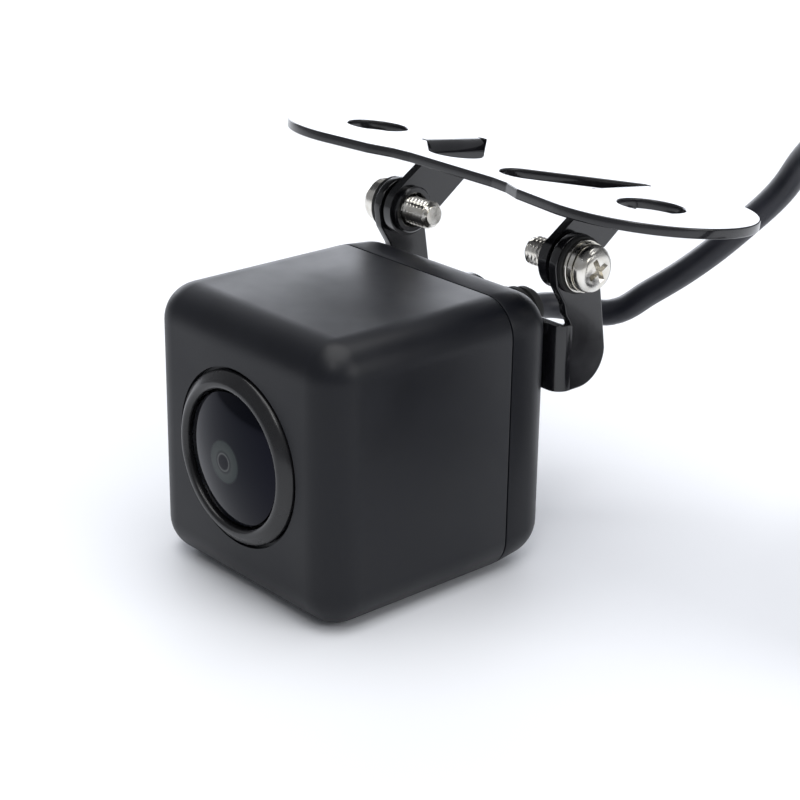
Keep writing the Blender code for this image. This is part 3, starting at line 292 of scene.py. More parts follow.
def body_plastic():
    """Moulded plastic with a fine spark-eroded grain."""
    return surface(
        "body_plastic", (0.0032, 0.0037, 0.0062), (0.005, 0.0057, 0.0088), (0.36, 0.46),
        9000.0, 130.0, 0.012 * MM, Specular_IOR_Level=0.3,
    )


def bezel_plastic():
    return surface(
        "bezel_plastic", (0.006, 0.006, 0.007), (0.009, 0.009, 0.01), (0.2, 0.3),
        7000.0, 300.0, 0.004 * MM,
    )


def painted_steel():
    """Stoved gloss paint with a faint orange peel."""
    return surface(
        "painted_steel", (0.006, 0.006, 0.0075), (0.009, 0.009, 0.011), (0.16, 0.26),
        1500.0, 260.0, 0.006 * MM, Coat_Weight=0.4, Coat_Roughness=0.08,
    )


def nickel():
    """Bright plated steel with a few darker spots."""
    return surface(
        "nickel", (0.7, 0.67, 0.6), (0.88, 0.86, 0.81), (0.14, 0.26),
        5000.0, 900.0, 0.004 * MM, Metallic=1.0,
    )


def zinc_steel():
    return surface(
        "zinc_steel", (0.42, 0.42, 0.42), (0.6, 0.6, 0.58), (0.28, 0.42),
        5000.0, 500.0, 0.004 * MM, Metallic=1.0,
    )


def black_anodised():
    return surface(
        "black_anodised", (0.003, 0.0032, 0.0035), (0.005, 0.0053, 0.0055), (0.42, 0.55),
        6000.0, 400.0, 0.003 * MM, Specular_IOR_Level=0.15,
    )


def seal_rubber():
    return surface(
        "seal_rubber", (0.01, 0.01, 0.01), (0.017, 0.017, 0.017), (0.6, 0.8),
        5000.0, 300.0, 0.01 * MM,
    )


def cord_jacket():
    return surface(
        "cord_jacket", (0.014, 0.015, 0.022), (0.021, 0.022, 0.031), (0.34, 0.46),
        3500.0, 220.0, 0.012 * MM,
    )


def connector_plastic():
    return surface(
        "connector_plastic", (0.01, 0.01, 0.012), (0.016, 0.016, 0.018), (0.35, 0.5),
        6000.0, 260.0, 0.01 * MM,
    )


def contact_insert():
    return surface(
        "contact_insert", (0.04, 0.04, 0.045), (0.06, 0.06, 0.065), (0.4, 0.55),
        6000.0, 400.0, 0.008 * MM,
    )


def contact_brass():
    return surface(
        "contact_brass", (0.62, 0.45, 0.16), (0.8, 0.62, 0.27), (0.2, 0.34),
        5000.0, 700.0, 0.004 * MM, Metallic=1.0,
    )


def board_laminate():
    return surface(
        "board_laminate", (0.008, 0.06, 0.025), (0.014, 0.09, 0.04), (0.3, 0.45),
        3000.0, 500.0, 0.01 * MM,
    )


def chip_plastic():
    return surface(
        "chip_plastic", (0.012, 0.012, 0.012), (0.022, 0.022, 0.022), (0.5, 0.65),
        7000.0, 500.0, 0.01 * MM,
    )


GLASS_RADIUS = 6.65 * MM
# Rings of colour from the lens's axis out, by their share of the glass's radius: the pupil, its bright edge
# as a painted highlight, the grey-green disc round it as a painted reflection of the inner element, and the
# dark glass beyond
GLASS_PAINTED_RINGS = (
    (0.105, (0.003, 0.003, 0.003)), (0.13, (0.1, 0.105, 0.1)), (0.15, (0.022, 0.024, 0.023)),
    (0.19, (0.05, 0.058, 0.053)), (0.3, (0.034, 0.042, 0.038)), (0.335, (0.0022, 0.0032, 0.0034)),
)


def front_glass():
    """Dark coated glass, opaque here. The pupil seen through it is painted on as rings, with a painted
    highlight at its edge and a painted reflection of the inner element round it.
    """
    made = material("front_glass")
    tree, shader = nodes_of(made)
    place = tree.nodes.new("ShaderNodeTexCoord")
    centred = tree.nodes.new("ShaderNodeVectorMath")
    centred.operation = "SUBTRACT"
    centred.inputs[1].default_value = (0.0, 0.0, AXIS_Z)
    flat = tree.nodes.new("ShaderNodeVectorMath")
    flat.operation = "MULTIPLY"
    flat.inputs[1].default_value = (1.0, 0.0, 1.0)
    radius = tree.nodes.new("ShaderNodeVectorMath")
    radius.operation = "LENGTH"
    link(tree, place.outputs["Object"], centred.inputs[0])
    link(tree, centred.outputs["Vector"], flat.inputs[0])
    link(tree, flat.outputs["Vector"], radius.inputs[0])
    share = ranged(tree, radius.outputs["Value"], 0.0, 1.0, 0.0, GLASS_RADIUS)
    rings = tree.nodes.new("ShaderNodeValToRGB")
    stops = rings.color_ramp.elements
    stops[0].position, stops[0].color = 0.0, (0.002, 0.002, 0.002, 1.0)
    stops[1].position, stops[1].color = 1.0, (0.0012, 0.0016, 0.003, 1.0)
    # the rings paint in the pupil, a painted highlight at its edge and a painted reflection of the inner
    # element
    for position, colour in GLASS_PAINTED_RINGS:
        stops.new(position).color = (*colour, 1.0)
    link(tree, share, rings.inputs["Fac"])
    link(tree, rings.outputs["Color"], shader.inputs["Base Color"])
    dust = noise(tree, coordinates(tree), 240.0, 2.0)
    link(tree, ranged(tree, dust, 0.02, 0.04, 0.4, 0.8), shader.inputs["Roughness"])
    shader.inputs["IOR"].default_value = 1.24  # chosen for a coating's weak reflection
    shader.inputs["Specular Tint"].default_value = (0.68, 0.68, 1.0, 1.0)
    return made


def inner_glass():
    """A small coated element: dark, with a green-grey sheen."""
    made = material("inner_glass")
    tree, shader = nodes_of(made)
    vector = coordinates(tree)
    dust = noise(tree, vector, 260.0, 2.0)
    link(tree, ranged(tree, dust, 0.03, 0.07), shader.inputs["Roughness"])
    link(tree, ramp(tree, dust, (0.012, 0.018, 0.017), (0.02, 0.028, 0.026)), shader.inputs["Base Color"])
    shader.inputs["IOR"].default_value = 1.9
    shader.inputs["Thin Film Thickness"].default_value = 330.0
    shader.inputs["Thin Film IOR"].default_value = 1.7
    return made


LOOKS = {
    "body_plastic": body_plastic(),
    "bezel_plastic": bezel_plastic(),
    "front_glass": front_glass(),
    "inner_glass": inner_glass(),
    "black_anodised": black_anodised(),
    "seal_rubber": seal_rubber(),
    "painted_steel": painted_steel(),
    "nickel": nickel(),
    "zinc_steel": zinc_steel(),
    "contact_brass": contact_brass(),
    "board_laminate": board_laminate(),
    "chip_plastic": chip_plastic(),
    "connector_plastic": connector_plastic(),
    "contact_insert": contact_insert(),
    "cord_jacket": cord_jacket(),
}


def dress_frame():
    """Every CAD node gets the look of its material slot."""
    slots = {part["node"]: part["material_slot"] for part in frame["record"]["subparts"]}
    for node, slot in slots.items():
        obj = bpy.data.objects[node]
        obj.data.materials.clear()
        obj.data.materials.append(LOOKS[slot])


dress_frame()


# ---- making pieces


def add_piece(name, mesh, look, body, *replaced):
    """A visible piece on a body, in place of the CAD nodes that it stands for."""
    obj = bpy.data.objects.new(name, mesh)
    bpy.context.scene.collection.objects.link(obj)
    mesh.materials.clear()
    mesh.materials.append(LOOKS[look])
    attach(obj, body)
    if replaced:
        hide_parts(*replaced)
    return obj


ON_AXIS = 1e-9
SHARP_ANGLE = 32.0  # degrees between two faces, above which the edge between them looks sharp


def finished(bm, name, matrix=Matrix.Identity(4), sharp=SHARP_ANGLE):
    """Closes the bmesh into a mesh, moved by the matrix and shaded smooth up to the sharp angle."""
    bmesh.ops.transform(bm, matrix=matrix, verts=bm.verts)
    bmesh.ops.recalc_face_normals(bm, faces=bm.faces)
    mesh = bpy.data.meshes.new(name)
    bm.to_mesh(mesh)
    bm.free()
    mesh.shade_smooth()
    mesh.set_sharp_from_angle(angle=math.radians(sharp))
    return mesh


def ring(bm, radii, height):
    """A ring of vertices about Z, one for each radius."""
    steps = len(radii)
    return [
        bm.verts.new(
            (radius * math.cos(2 * math.pi * i / steps), radius * math.sin(2 * math.pi * i / steps), height)
        )
        for i, radius in enumerate(radii)
    ]


def row(bm, radius, height, steps):
    """A ring of one radius, or a single vertex where that is on the axis."""
    if radius < ON_AXIS:
        return [bm.verts.new((0, 0, height))]
    return ring(bm, [radius] * steps, height)


def bridge(bm, pairs, steps):
    """Faces between each pair of rows."""
    for upper, lower in pairs:
        for i in range(steps):
            j = (i + 1) % steps
            if len(upper) == 1:
                bm.faces.new((upper[0], lower[i], lower[j]))
            elif len(lower) == 1:
                bm.faces.new((upper[i], upper[j], lower[0]))
            else:
                bm.faces.new((upper[i], upper[j], lower[j], lower[i]))


def turned(name, profile, matrix, steps=96, sharp=SHARP_ANGLE):
    """A profile of (radius, height), open at the axis or closed, turned about Z."""
    bm = bmesh.new()
    loop = profile[0][0] > ON_AXIS or profile[-1][0] > ON_AXIS
    rows = [row(bm, radius, height, steps) for radius, height in profile]
    bridge(bm, list(zip(rows, rows[1:])) + ([(rows[-1], rows[0])] if loop else []), steps)
    return finished(bm, name, matrix, sharp)


def cut(mesh, cutters, name, operations=None):
    """The mesh with closed cutters taken away, or combined with it by the operations given."""
    obj = bpy.data.objects.new("work", mesh)
    bpy.context.scene.collection.objects.link(obj)
    made = []
    for i, cutter in enumerate(cutters):
        other = bpy.data.objects.new(f"cutter_{i}", cutter)
        bpy.context.scene.collection.objects.link(other)
        made.append(other)
        boolean = obj.modifiers.new(f"cut_{i}", "BOOLEAN")
        boolean.operation = operations[i] if operations else "DIFFERENCE"
        boolean.solver = "MANIFOLD"
        boolean.object = other
    bpy.context.view_layer.update()
    graph = bpy.context.evaluated_depsgraph_get()
    result = bpy.data.meshes.new_from_object(obj.evaluated_get(graph))
    for other in (*made, obj):
        bpy.data.objects.remove(other, do_unlink=True)
    result.name = name
    result.shade_smooth()
    result.set_sharp_from_angle(angle=math.radians(SHARP_ANGLE))
    return result


def box_mesh(name, low, high):
    bm = bmesh.new()
    bmesh.ops.create_cube(bm, size=1.0)
    for vert in bm.verts:
        vert.co = Vector(low[i] + (vert.co[i] + 0.5) * (high[i] - low[i]) for i in range(3))
    return finished(bm, name)


LENS_FRAME = Matrix.Translation((0, SHELL_LOW.y, AXIS_Z)) @ Matrix.Rotation(math.radians(90), 4, "X")


def rear_frame(x, y, z):
    return Matrix.Translation((x, y, z)) @ Matrix.Rotation(math.radians(-90), 4, "X")


def rear_place(node):
    """The x and z of the middle of a CAD node, for what sits on the rear face."""
    low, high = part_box(node)
    return (low[0] + high[0]) / 2, (low[2] + high[2]) / 2


def side_frame(side):
    return Matrix.Translation(PIVOT) @ Matrix.Rotation(side * math.radians(90), 4, "Y")


def arc(centre, radius, start, end, count):
    angles = [math.radians(start + (end - start) * i / count) for i in range(count + 1)]
    return [(centre[0] + radius * math.cos(a), centre[1] + radius * math.sin(a)) for a in angles]


# ---- body shell

EDGE_RADIUS = 3.8 * MM
SEAM_GAP = 0.12 * MM
WALL = 2.0 * MM
TAPER = 0.5 * MM
LENS_SEAT = 9.0 * MM
LENS_SEAT_DEPTH = 0.6 * MM
LENS_BORE = 7.5 * MM
GLAND_HOLE = 3.3 * MM
COVER_SCREW_HOLE = 1.3 * MM
COVER_SCREW_SINK = 2.0 * MM
BRACKET_SCREW_HOLE = 1.2 * MM
EDGE_SECTIONS = 12
SEAM_CHAMFER = 0.12 * MM
COVER_SCREWS = [f"cover_screw_{i}" for i in range(1, 5)]
BRACKET_SCREWS = ["bracket_screw_left", "bracket_screw_right"]


def body_half(name, front, back, open_y, taper_back):
    """A rounded half of the body, solid and flat at the seam, which has a tiny chamfer."""
    bm = bmesh.new()
    bmesh.ops.create_cube(bm, size=1.0)
    for vert in bm.verts:
        at_back = vert.co.y > 0
        shrink = taper_back if at_back else 0.0
        vert.co = Vector(
            (
                math.copysign(SHELL_HIGH.x - shrink, vert.co.x),
                back if at_back else front,
                AXIS_Z + math.copysign(SHELL_HIGH.z - AXIS_Z - shrink, vert.co.z),
            )
        )

    def at_seam(edge):
        return all(abs(vert.co.y - open_y) < 1e-7 for vert in edge.verts)

    rounded = [edge for edge in bm.edges if not at_seam(edge)]
    bmesh.ops.bevel(
        bm, geom=rounded, offset=EDGE_RADIUS, segments=EDGE_SECTIONS, profile=0.5, affect="EDGES"
    )
    seam = [edge for edge in bm.edges if at_seam(edge)]
    bmesh.ops.bevel(bm, geom=seam, offset=SEAM_CHAMFER, segments=2, profile=0.5, affect="EDGES")
    return finished(bm, name, sharp=40.0)


def make_body():
    """The front shell and the rear cover, hollowed and bored, with a hairline seam between them."""
    seam = (SHELL_HIGH.y + COVER_LOW.y) / 2
    front_end, rear_start = seam - SEAM_GAP / 2, seam + SEAM_GAP / 2
    front = body_half("shell", SHELL_LOW.y, front_end, front_end, 0.0)
    inner_x, inner_z = SHELL_HIGH.x - WALL, SHELL_HIGH.z - AXIS_Z - WALL
    hollow = box_mesh(
        "hollow",
        (-inner_x, SHELL_LOW.y + WALL, AXIS_Z - inner_z),
        (inner_x, seam + MM, AXIS_Z + inner_z),
    )
    bore = turned(
        "bore",
        [
            (0, MM), (LENS_SEAT, MM), (LENS_SEAT, -LENS_SEAT_DEPTH), (LENS_BORE, -LENS_SEAT_DEPTH),
            (LENS_BORE, -WALL - MM), (0, -WALL - MM),
        ],
        LENS_FRAME,
    )
    shell = cut(front, [hollow, bore], "shell_front")
    add_piece("shell_front", shell, "body_plastic", CAMERA_BODY, "front_shell")

    rear = body_half("cover", rear_start, COVER_HIGH.y, rear_start, TAPER)
    shrunk_x, shrunk_z = inner_x - TAPER, inner_z - TAPER
    cavity = box_mesh(
        "cavity",
        (-shrunk_x, seam - MM, AXIS_Z - shrunk_z),
        (shrunk_x, COVER_HIGH.y - WALL, AXIS_Z + shrunk_z),
    )
    gland_hole = [(0, MM), (GLAND_HOLE, MM), (GLAND_HOLE, -2 * WALL), (0, -2 * WALL)]
    cutters = [cavity, turned("gland_hole", gland_hole, rear_frame(0.0, COVER_HIGH.y, GLAND_Z), 48)]
    sink = [
        (0, MM), (COVER_SCREW_SINK, MM), (COVER_SCREW_SINK, 0), (COVER_SCREW_HOLE, -0.7 * MM),
        (COVER_SCREW_HOLE, -8 * MM), (0, -8 * MM),
    ]
    for node in COVER_SCREWS:
        x, z = rear_place(node)
        cutters.append(turned("sink", sink, rear_frame(x, COVER_HIGH.y, z), 48))
    hole = [(0, MM), (BRACKET_SCREW_HOLE, MM), (BRACKET_SCREW_HOLE, -3 * WALL), (0, -3 * WALL)]
    for node in BRACKET_SCREWS:
        x, z = rear_place(node)
        cutters.append(turned("hole", hole, rear_frame(x, COVER_HIGH.y, z), 32))
    add_piece("cover_rear", cut(rear, cutters, "cover_rear"), "body_plastic", CAMERA_BODY, "rear_cover")


make_body()


# ---- lens


def dome(radius, rise, top, count):
    """Half the profile of a dome, from its top on the axis out to its rim."""
    ball = (radius**2 + rise**2) / (2 * rise)
    return [
        (radius * i / count, top - ball + math.sqrt(ball**2 - (radius * i / count) ** 2))
        for i in range(count + 1)
    ]


BEZEL_INNER, BEZEL_OUTER = 6.95 * MM, 8.7 * MM
GLASS_RISE, GLASS_TOP = 1.2 * MM, 1.6 * MM


def make_lens():
    """The bezel and the front glass, with a cone and a first element behind the opaque glass."""
    bezel = [
        (BEZEL_INNER, 0.45 * MM),
        (7.0 * MM, 0.72 * MM),
        (7.15 * MM, 0.9 * MM),
        (7.35 * MM, 0.98 * MM),
        (7.6 * MM, 0.97 * MM),
        (7.8 * MM, 0.88 * MM),
        (8.45 * MM, 0.36 * MM),
        (8.62 * MM, 0.2 * MM),
        (BEZEL_OUTER, 0.0),
        (BEZEL_OUTER, -0.3 * MM),
        (BEZEL_INNER, -0.3 * MM),
    ]
    mesh = turned("bezel_ring", bezel, LENS_FRAME, 128)
    add_piece("bezel_ring", mesh, "bezel_plastic", CAMERA_BODY, "lens_bezel")
    outer = dome(GLASS_RADIUS, GLASS_RISE, GLASS_TOP, 24)
    inner = dome(5.2 * MM, 0.9 * MM, 0.3 * MM, 16)[::-1]
    glass = outer + [(GLASS_RADIUS, -0.55 * MM), (5.4 * MM, -0.6 * MM)] + inner
    mesh = turned("glass_dome", glass, LENS_FRAME, 128, 50.0)
    add_piece("glass_dome", mesh, "front_glass", CAMERA_BODY, "front_glass")
    throat = [
        (2.3 * MM, -1.9 * MM), (2.45 * MM, -1.75 * MM), (2.7 * MM, -1.75 * MM), (3.1 * MM, -2.1 * MM),
        (4.2 * MM, -2.2 * MM), (4.4 * MM, -1.7 * MM), (4.75 * MM, -1.65 * MM), (5.25 * MM, -1.3 * MM),
        (5.3 * MM, -2.9 * MM), (2.3 * MM, -2.9 * MM),
    ]
    add_piece("inner_cone", turned("inner_cone", throat, LENS_FRAME), "black_anodised", CAMERA_BODY)
    element = dome(2.15 * MM, 0.9 * MM, -1.25 * MM, 16) + [(2.15 * MM, -2.8 * MM), (0, -2.8 * MM)]
    mesh = turned("inner_element", element, LENS_FRAME)
    add_piece("inner_element", mesh, "inner_glass", CAMERA_BODY, "second_lens")


make_lens()


# ---- sheet-metal bracket and plate

SHEET = 1.0 * MM
SOFT_EDGE = 0.14 * MM
BRACKET_SIDE = Vector(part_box("u_bracket")[1]).x
PLATE_TILT = math.radians(-8.0)
PLATE_TOP = 7.16 * MM
PLATE_CENTRE_V = 2.64 * MM
EAR_X = 11.0 * MM
EAR_FRONT, EAR_REAR = 2.1 * MM, 10.1 * MM
EAR_RADIUS = 2.9 * MM
PIVOT_HOLE = 1.75 * MM
PLATE_HOLE = 3.3 * MM
PLATE_HOLE_SHIFT = 0.6 * MM
CRISP_EDGE = 0.01 * MM


def frame_of(origin, x_axis, y_axis):
    x_axis, y_axis = Vector(x_axis).normalized(), Vector(y_axis).normalized()
    matrix = Matrix((x_axis, y_axis, x_axis.cross(y_axis))).transposed().to_4x4()
    matrix.translation = Vector(origin)
    return matrix


def turns_left(points):
    area = sum(a[0] * b[1] - b[0] * a[1] for a, b in zip(points, points[1:] + points[:1]))
    return area > 0


def sheet_mesh(name, outer, holes, thickness, matrix, soft=SOFT_EDGE):
    """A flat sheet with holes and slightly rounded edges, centred on the matrix's XY plane."""
    curve = bpy.data.curves.new(name, "CURVE")
    curve.dimensions = "2D"
    curve.fill_mode = "BOTH"
    curve.extrude = thickness / 2 - soft
    curve.bevel_depth = soft
    curve.bevel_resolution = 2
    curve.offset = -soft
    for i, points in enumerate([outer, *holes]):
        if turns_left(points) == (i > 0):
            points = points[::-1]
        spline = curve.splines.new("POLY")
        spline.points.add(len(points) - 1)
        for point, (x, y) in zip(spline.points, points):
            point.co = (x, y, 0.0, 1.0)
        spline.use_cyclic_u = True
    flat = bpy.data.objects.new(name, curve)
    bpy.context.scene.collection.objects.link(flat)
    graph = bpy.context.evaluated_depsgraph_get()
    mesh = bpy.data.meshes.new_from_object(flat.evaluated_get(graph))
    bpy.data.objects.remove(flat, do_unlink=True)
    bm = bmesh.new()
    bm.from_mesh(mesh)
    bmesh.ops.remove_doubles(bm, verts=bm.verts, dist=1e-7)
    mesh = finished(bm, name, matrix, sharp=48.0)
    square_to = matrix.to_3x3() @ Vector((0, 0, 1))
    for face in mesh.polygons:
        if abs(face.normal.dot(square_to)) > 0.999:
            face.use_smooth = False  # so that the edge's curve doesn't shade the flat faces
    return mesh


def circle(centre, radius, count=72):
    return arc(centre, radius, 0.0, 360.0, count)[:-1]


FILLET_POINTS = 6


def fillet(points, radius):
    """The closed outline with each corner rounded, where its sides are long enough."""
    made = []
    total = len(points)
    for i, point in enumerate(points):
        here = Vector(point)
        before = Vector(points[i - 1]) - here
        after = Vector(points[(i + 1) % total]) - here
        bend = math.pi - before.angle(after)
        reach = radius * math.tan(bend / 2)
        if bend < math.radians(4) or reach > 0.45 * min(before.length, after.length):
            made.append(tuple(here))
            continue
        start = here + before.normalized() * reach
        end = here + after.normalized() * reach
        for k in range(FILLET_POINTS + 1):
            t = k / FILLET_POINTS
            made.append(tuple(start * (1 - t) ** 2 + here * 2 * t * (1 - t) + end * t**2))
    return made


def plate_outline():
    """Two round lobes joined by a narrower waist, with a shoulder at each side."""
    lobe = 11.1 * MM
    lobe_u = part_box("mounting_plate")[1][0] - lobe
    quarter = [(6.0 * MM, 8.3 * MM), (8.4 * MM, 8.7 * MM), (11.0 * MM, 9.9 * MM)]
    quarter += arc((lobe_u, 0.0), lobe, 100, 0, 32)
    right = quarter + [(u, -v) for u, v in reversed(quarter[:-1])]
    points = right + [(-u, -v) for u, v in right]
    return [(u, v + PLATE_CENTRE_V) for u, v in points]


def tangent_point(outside, centre, radius, side):
    dx, dy = outside[0] - centre[0], outside[1] - centre[1]
    turn = side * math.acos(radius / math.hypot(dx, dy))
    return math.degrees(math.atan2(dy, dx) + turn)


def window_outline(side):
    """The opening left by an ear that was folded down."""
    root_u = EAR_X + 1.5 * SHEET
    fold_u = EAR_X + SHEET / 2
    tip, tip_radius = (5.2 * MM, 0.0), 2.8 * MM
    front, rear = (fold_u, EAR_FRONT - 0.4 * MM), (fold_u, EAR_REAR + 0.4 * MM)
    rear_angle = tangent_point(rear, tip, tip_radius, 1)
    front_angle = tangent_point(front, tip, tip_radius, -1) + 360.0
    points = [(root_u, front[1]), (root_u, rear[1]), rear]
    points += arc(tip, tip_radius, rear_angle, front_angle, 28)
    points += [front]
    return fillet([(side * u, v) for u, v in points], 0.35 * MM)


def plate_ear(side, frame):
    """The folded ear: a bent strip cut to the ear's outline."""
    root = PLATE_TOP - 1.5 * SHEET
    bend_u = EAR_X + 1.5 * SHEET
    below = -2 * EAR_RADIUS
    points = [(bend_u + 0.1 * MM, PLATE_TOP)] + arc((bend_u, root), 1.5 * SHEET, 90, 180, 12)
    points += [(EAR_X, below), (EAR_X + SHEET, below)]
    points += arc((bend_u, root), 0.5 * SHEET, 180, 90, 8) + [(bend_u + 0.1 * MM, PLATE_TOP - SHEET)]
    points = [(side * u, n) for u, n in points]
    across = frame @ frame_of((0, 0, 0), (1, 0, 0), (0, 0, 1))
    strip = sheet_mesh("strip", points, [], 44 * MM, across, CRISP_EDGE)
    front, rear = (EAR_FRONT, root), (EAR_REAR, root)
    front_angle = tangent_point(front, (0.0, 0.0), EAR_RADIUS, 1)
    rear_angle = tangent_point(rear, (0.0, 0.0), EAR_RADIUS, -1)
    shape = [(rear[0], PLATE_TOP + MM), (front[0], PLATE_TOP + MM), front]
    shape += arc((0.0, 0.0), EAR_RADIUS, front_angle, rear_angle + 360.0, 40) + [rear]
    sideways = frame @ frame_of((0, 0, 0), (0, 1, 0), (0, 0, 1))
    silhouette = sheet_mesh("silhouette", shape, [], 59 * MM, sideways, CRISP_EDGE)
    near, far = EAR_X - MM, EAR_X + 3 * MM
    bore = [(0, near), (PIVOT_HOLE, near), (PIVOT_HOLE, far), (0, far)]
    hole = turned("ear_hole", bore, side_frame(side), 48)
    return cut(strip, [silhouette, hole], f"ear_{side}", ("INTERSECT", "DIFFERENCE"))


def make_plate():
    """The butterfly plate with its two folded ears, each with a collar round its hole."""
    frame = Matrix.Translation(PIVOT) @ Matrix.Rotation(PLATE_TILT, 4, "X")
    hole_u = (PLATE_HOLES_X[1] - PLATE_HOLES_X[0]) / 2
    holes = [circle((side * hole_u, PLATE_CENTRE_V - PLATE_HOLE_SHIFT), PLATE_HOLE) for side in (-1, 1)]
    holes += [window_outline(side) for side in (-1, 1)]
    middle = frame @ Matrix.Translation((0, 0, PLATE_TOP - SHEET / 2))
    outer = fillet(plate_outline(), 1.2 * MM)
    flat = sheet_mesh("plate_sheet", outer, holes, SHEET, middle)
    add_piece("plate_sheet", flat, "painted_steel", PLATE_BODY, "mounting_plate")
    for side, label in ((-1, "left"), (1, "right")):
        add_piece(f"plate_ear_{label}", plate_ear(side, frame), "painted_steel", PLATE_BODY)
        low, high, soft = EAR_X - 0.6 * MM, EAR_X + 0.2 * MM, 0.15 * MM
        rim = 2.5 * MM
        collar = [
            (PIVOT_HOLE, low + soft), (PIVOT_HOLE + soft, low), (rim - soft, low), (rim, low + soft),
            (rim, high), (PIVOT_HOLE, high),
        ]
        mesh = turned(f"plate_collar_{label}", collar, side_frame(side), 72)
        add_piece(f"plate_collar_{label}", mesh, "painted_steel", PLATE_BODY)


def make_bracket():
    """A bent strip across the rear face, with two ears that carry the pivot."""
    front, bottom, height = COVER_HIGH.y + 0.3 * MM, 17.5 * MM, 7.0 * MM
    back = front + SHEET
    inner = BRACKET_SIDE - SHEET
    bend_radius = 0.5 * MM
    bend = (inner - bend_radius, back + bend_radius)
    end_y = bend[1] + 0.3 * MM
    right = arc(bend, bend_radius + SHEET, -90, 0, 12) + [(inner + SHEET, end_y), (inner, end_y)]
    right += arc(bend, bend_radius, 0, -90, 8)
    band = right + [(-x, y) for x, y in reversed(right)]
    middle = Matrix.Translation((0, 0, bottom + height / 2))
    mesh = sheet_mesh("bracket_band", band, [], height, middle, 0.1 * MM)
    near, far = front - MM, back + MM
    hole = [(0, near), (GLAND_HOLE, near), (GLAND_HOLE, far), (0, far)]
    bore = turned("band_bore", hole, rear_frame(0.0, 0.0, GLAND_Z), 64)
    mesh = cut(mesh, [bore], "bracket_band")
    add_piece("bracket_band", mesh, "painted_steel", CAMERA_BODY, "u_bracket")
    rim, soft = 5.6 * MM, 0.15 * MM
    boss = [
        (GLAND_HOLE, front), (rim - soft, front), (rim, front + soft), (rim, back - soft),
        (rim - soft, back), (GLAND_HOLE, back),
    ]
    mesh = turned("bracket_boss", boss, rear_frame(0.0, 0.0, GLAND_Z))
    add_piece("bracket_boss", mesh, "painted_steel", CAMERA_BODY)
    rear, corner, start = front + 6.5 * MM, 3.5 * MM, back + 0.5 * MM
    neck = PIVOT.z - 4.0 * MM
    top = bottom + height
    shape = [(start, bottom)] + arc((rear - corner, bottom + corner), corner, -90, 0, 20)
    shape += [(rear - 0.2 * MM, top - 2.2 * MM), (rear - 0.9 * MM, neck)]
    shape += arc((PIVOT.y, PIVOT.z), 3.0 * MM, 0, 180, 48)
    shape += [
        (PIVOT.y - 2.7 * MM, PIVOT.z - 1.9 * MM), (PIVOT.y - 1.4 * MM, neck),
        (PIVOT.y - 1.2 * MM, neck - 1.0 * MM), (start, top),
    ]
    shape = fillet(shape, 1.6 * MM)
    hole = circle((PIVOT.y, PIVOT.z), PIVOT_HOLE, 48)
    for side, label in ((-1, "left"), (1, "right")):
        frame = frame_of((side * (inner + SHEET / 2), 0, 0), (0, 1, 0), (0, 0, 1))
        mesh = sheet_mesh(f"bracket_ear_{label}", shape, [hole], SHEET, frame)
        add_piece(f"bracket_ear_{label}", mesh, "painted_steel", CAMERA_BODY)


OPENINGS = {opening["name"]: opening["box_m"] for opening in frame["record"]["physics"]["openings"]}
PLATE_HOLES_X = [
    (OPENINGS[name][0][0] + OPENINGS[name][1][0]) / 2 for name in ("plate_hole_left", "plate_hole_right")
]
make_plate()
make_bracket()


# ---- pivot screws and washers

THREAD_PITCH = 0.5 * MM
THREAD_DEPTH = 0.28 * MM
THREAD_START = 0.4 * MM  # the thread fades in over this length under the head
TIP_LENGTH, TIP_TAPER = 0.45 * MM, 0.35 * MM
SHAFT_RADIUS = 1.5 * MM
WASHER_HOLE = 1.65 * MM
WASHER_SPARE = 0.04 * MM
WASHER_SOFT = 0.06 * MM
HEAD_ARC_STEP = 0.131
PIVOT_HEAD_HEIGHT = 1.3 * MM
# The pivot screw's head in millimetres: its radius at each depth below the crown
PIVOT_HEAD = [
    (0.9, 0.02), (1.4, 0.08), (1.8, 0.2), (2.1, 0.38), (2.3, 0.62), (2.38, 0.85), (2.4, 1.15), (2.34, 1.3),
]


def cross_blades(crown, width, reach, depth, spin):
    """Two tapered blades that cut a cross recess into a head whose crown is at that height."""
    blades = []
    for turn in (0.0, 90.0):
        blade = bmesh.new()
        bmesh.ops.create_cube(blade, size=1.0)
        for vert in blade.verts:
            deep = vert.co.z < 0
            vert.co = Vector(
                (
                    math.copysign(reach * (0.35 if deep else 1.0), vert.co.x),
                    math.copysign(width / 2 * (0.8 if deep else 1.0), vert.co.y),
                    crown - depth if deep else crown + 0.2 * MM,
                )
            )
        blades.append(finished(blade, "blade", Matrix.Rotation(math.radians(turn + spin), 4, "Z")))
    return blades


def rear_screw(node, radius, head_height, shaft_radius, spin):
    """A domed screw head on the rear face, with a cross recess and a plain shaft."""
    x, z = rear_place(node)
    tip, top = (corner[1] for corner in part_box(node))
    under = top - head_height
    angles = [step * HEAD_ARC_STEP for step in range(1, 12)]
    profile = [(0, top)]
    profile += [(radius * math.sin(a), top - 0.35 * head_height * (1 - math.cos(a))) for a in angles]
    profile += [(radius, top - 0.5 * head_height), (radius, under), (shaft_radius, under)]
    profile += [(shaft_radius, tip), (0, tip)]
    body = turned(f"{node}_body", profile, Matrix.Identity(4), 64)
    blades = cross_blades(top, 0.45 * MM, 0.72 * radius, 0.55 * head_height + 0.2 * MM, spin)
    mesh = cut(body, blades, f"{node}_look")
    mesh.transform(rear_frame(x, 0.0, z))
    add_piece(f"{node}_look", mesh, "zinc_steel", CAMERA_BODY, node)


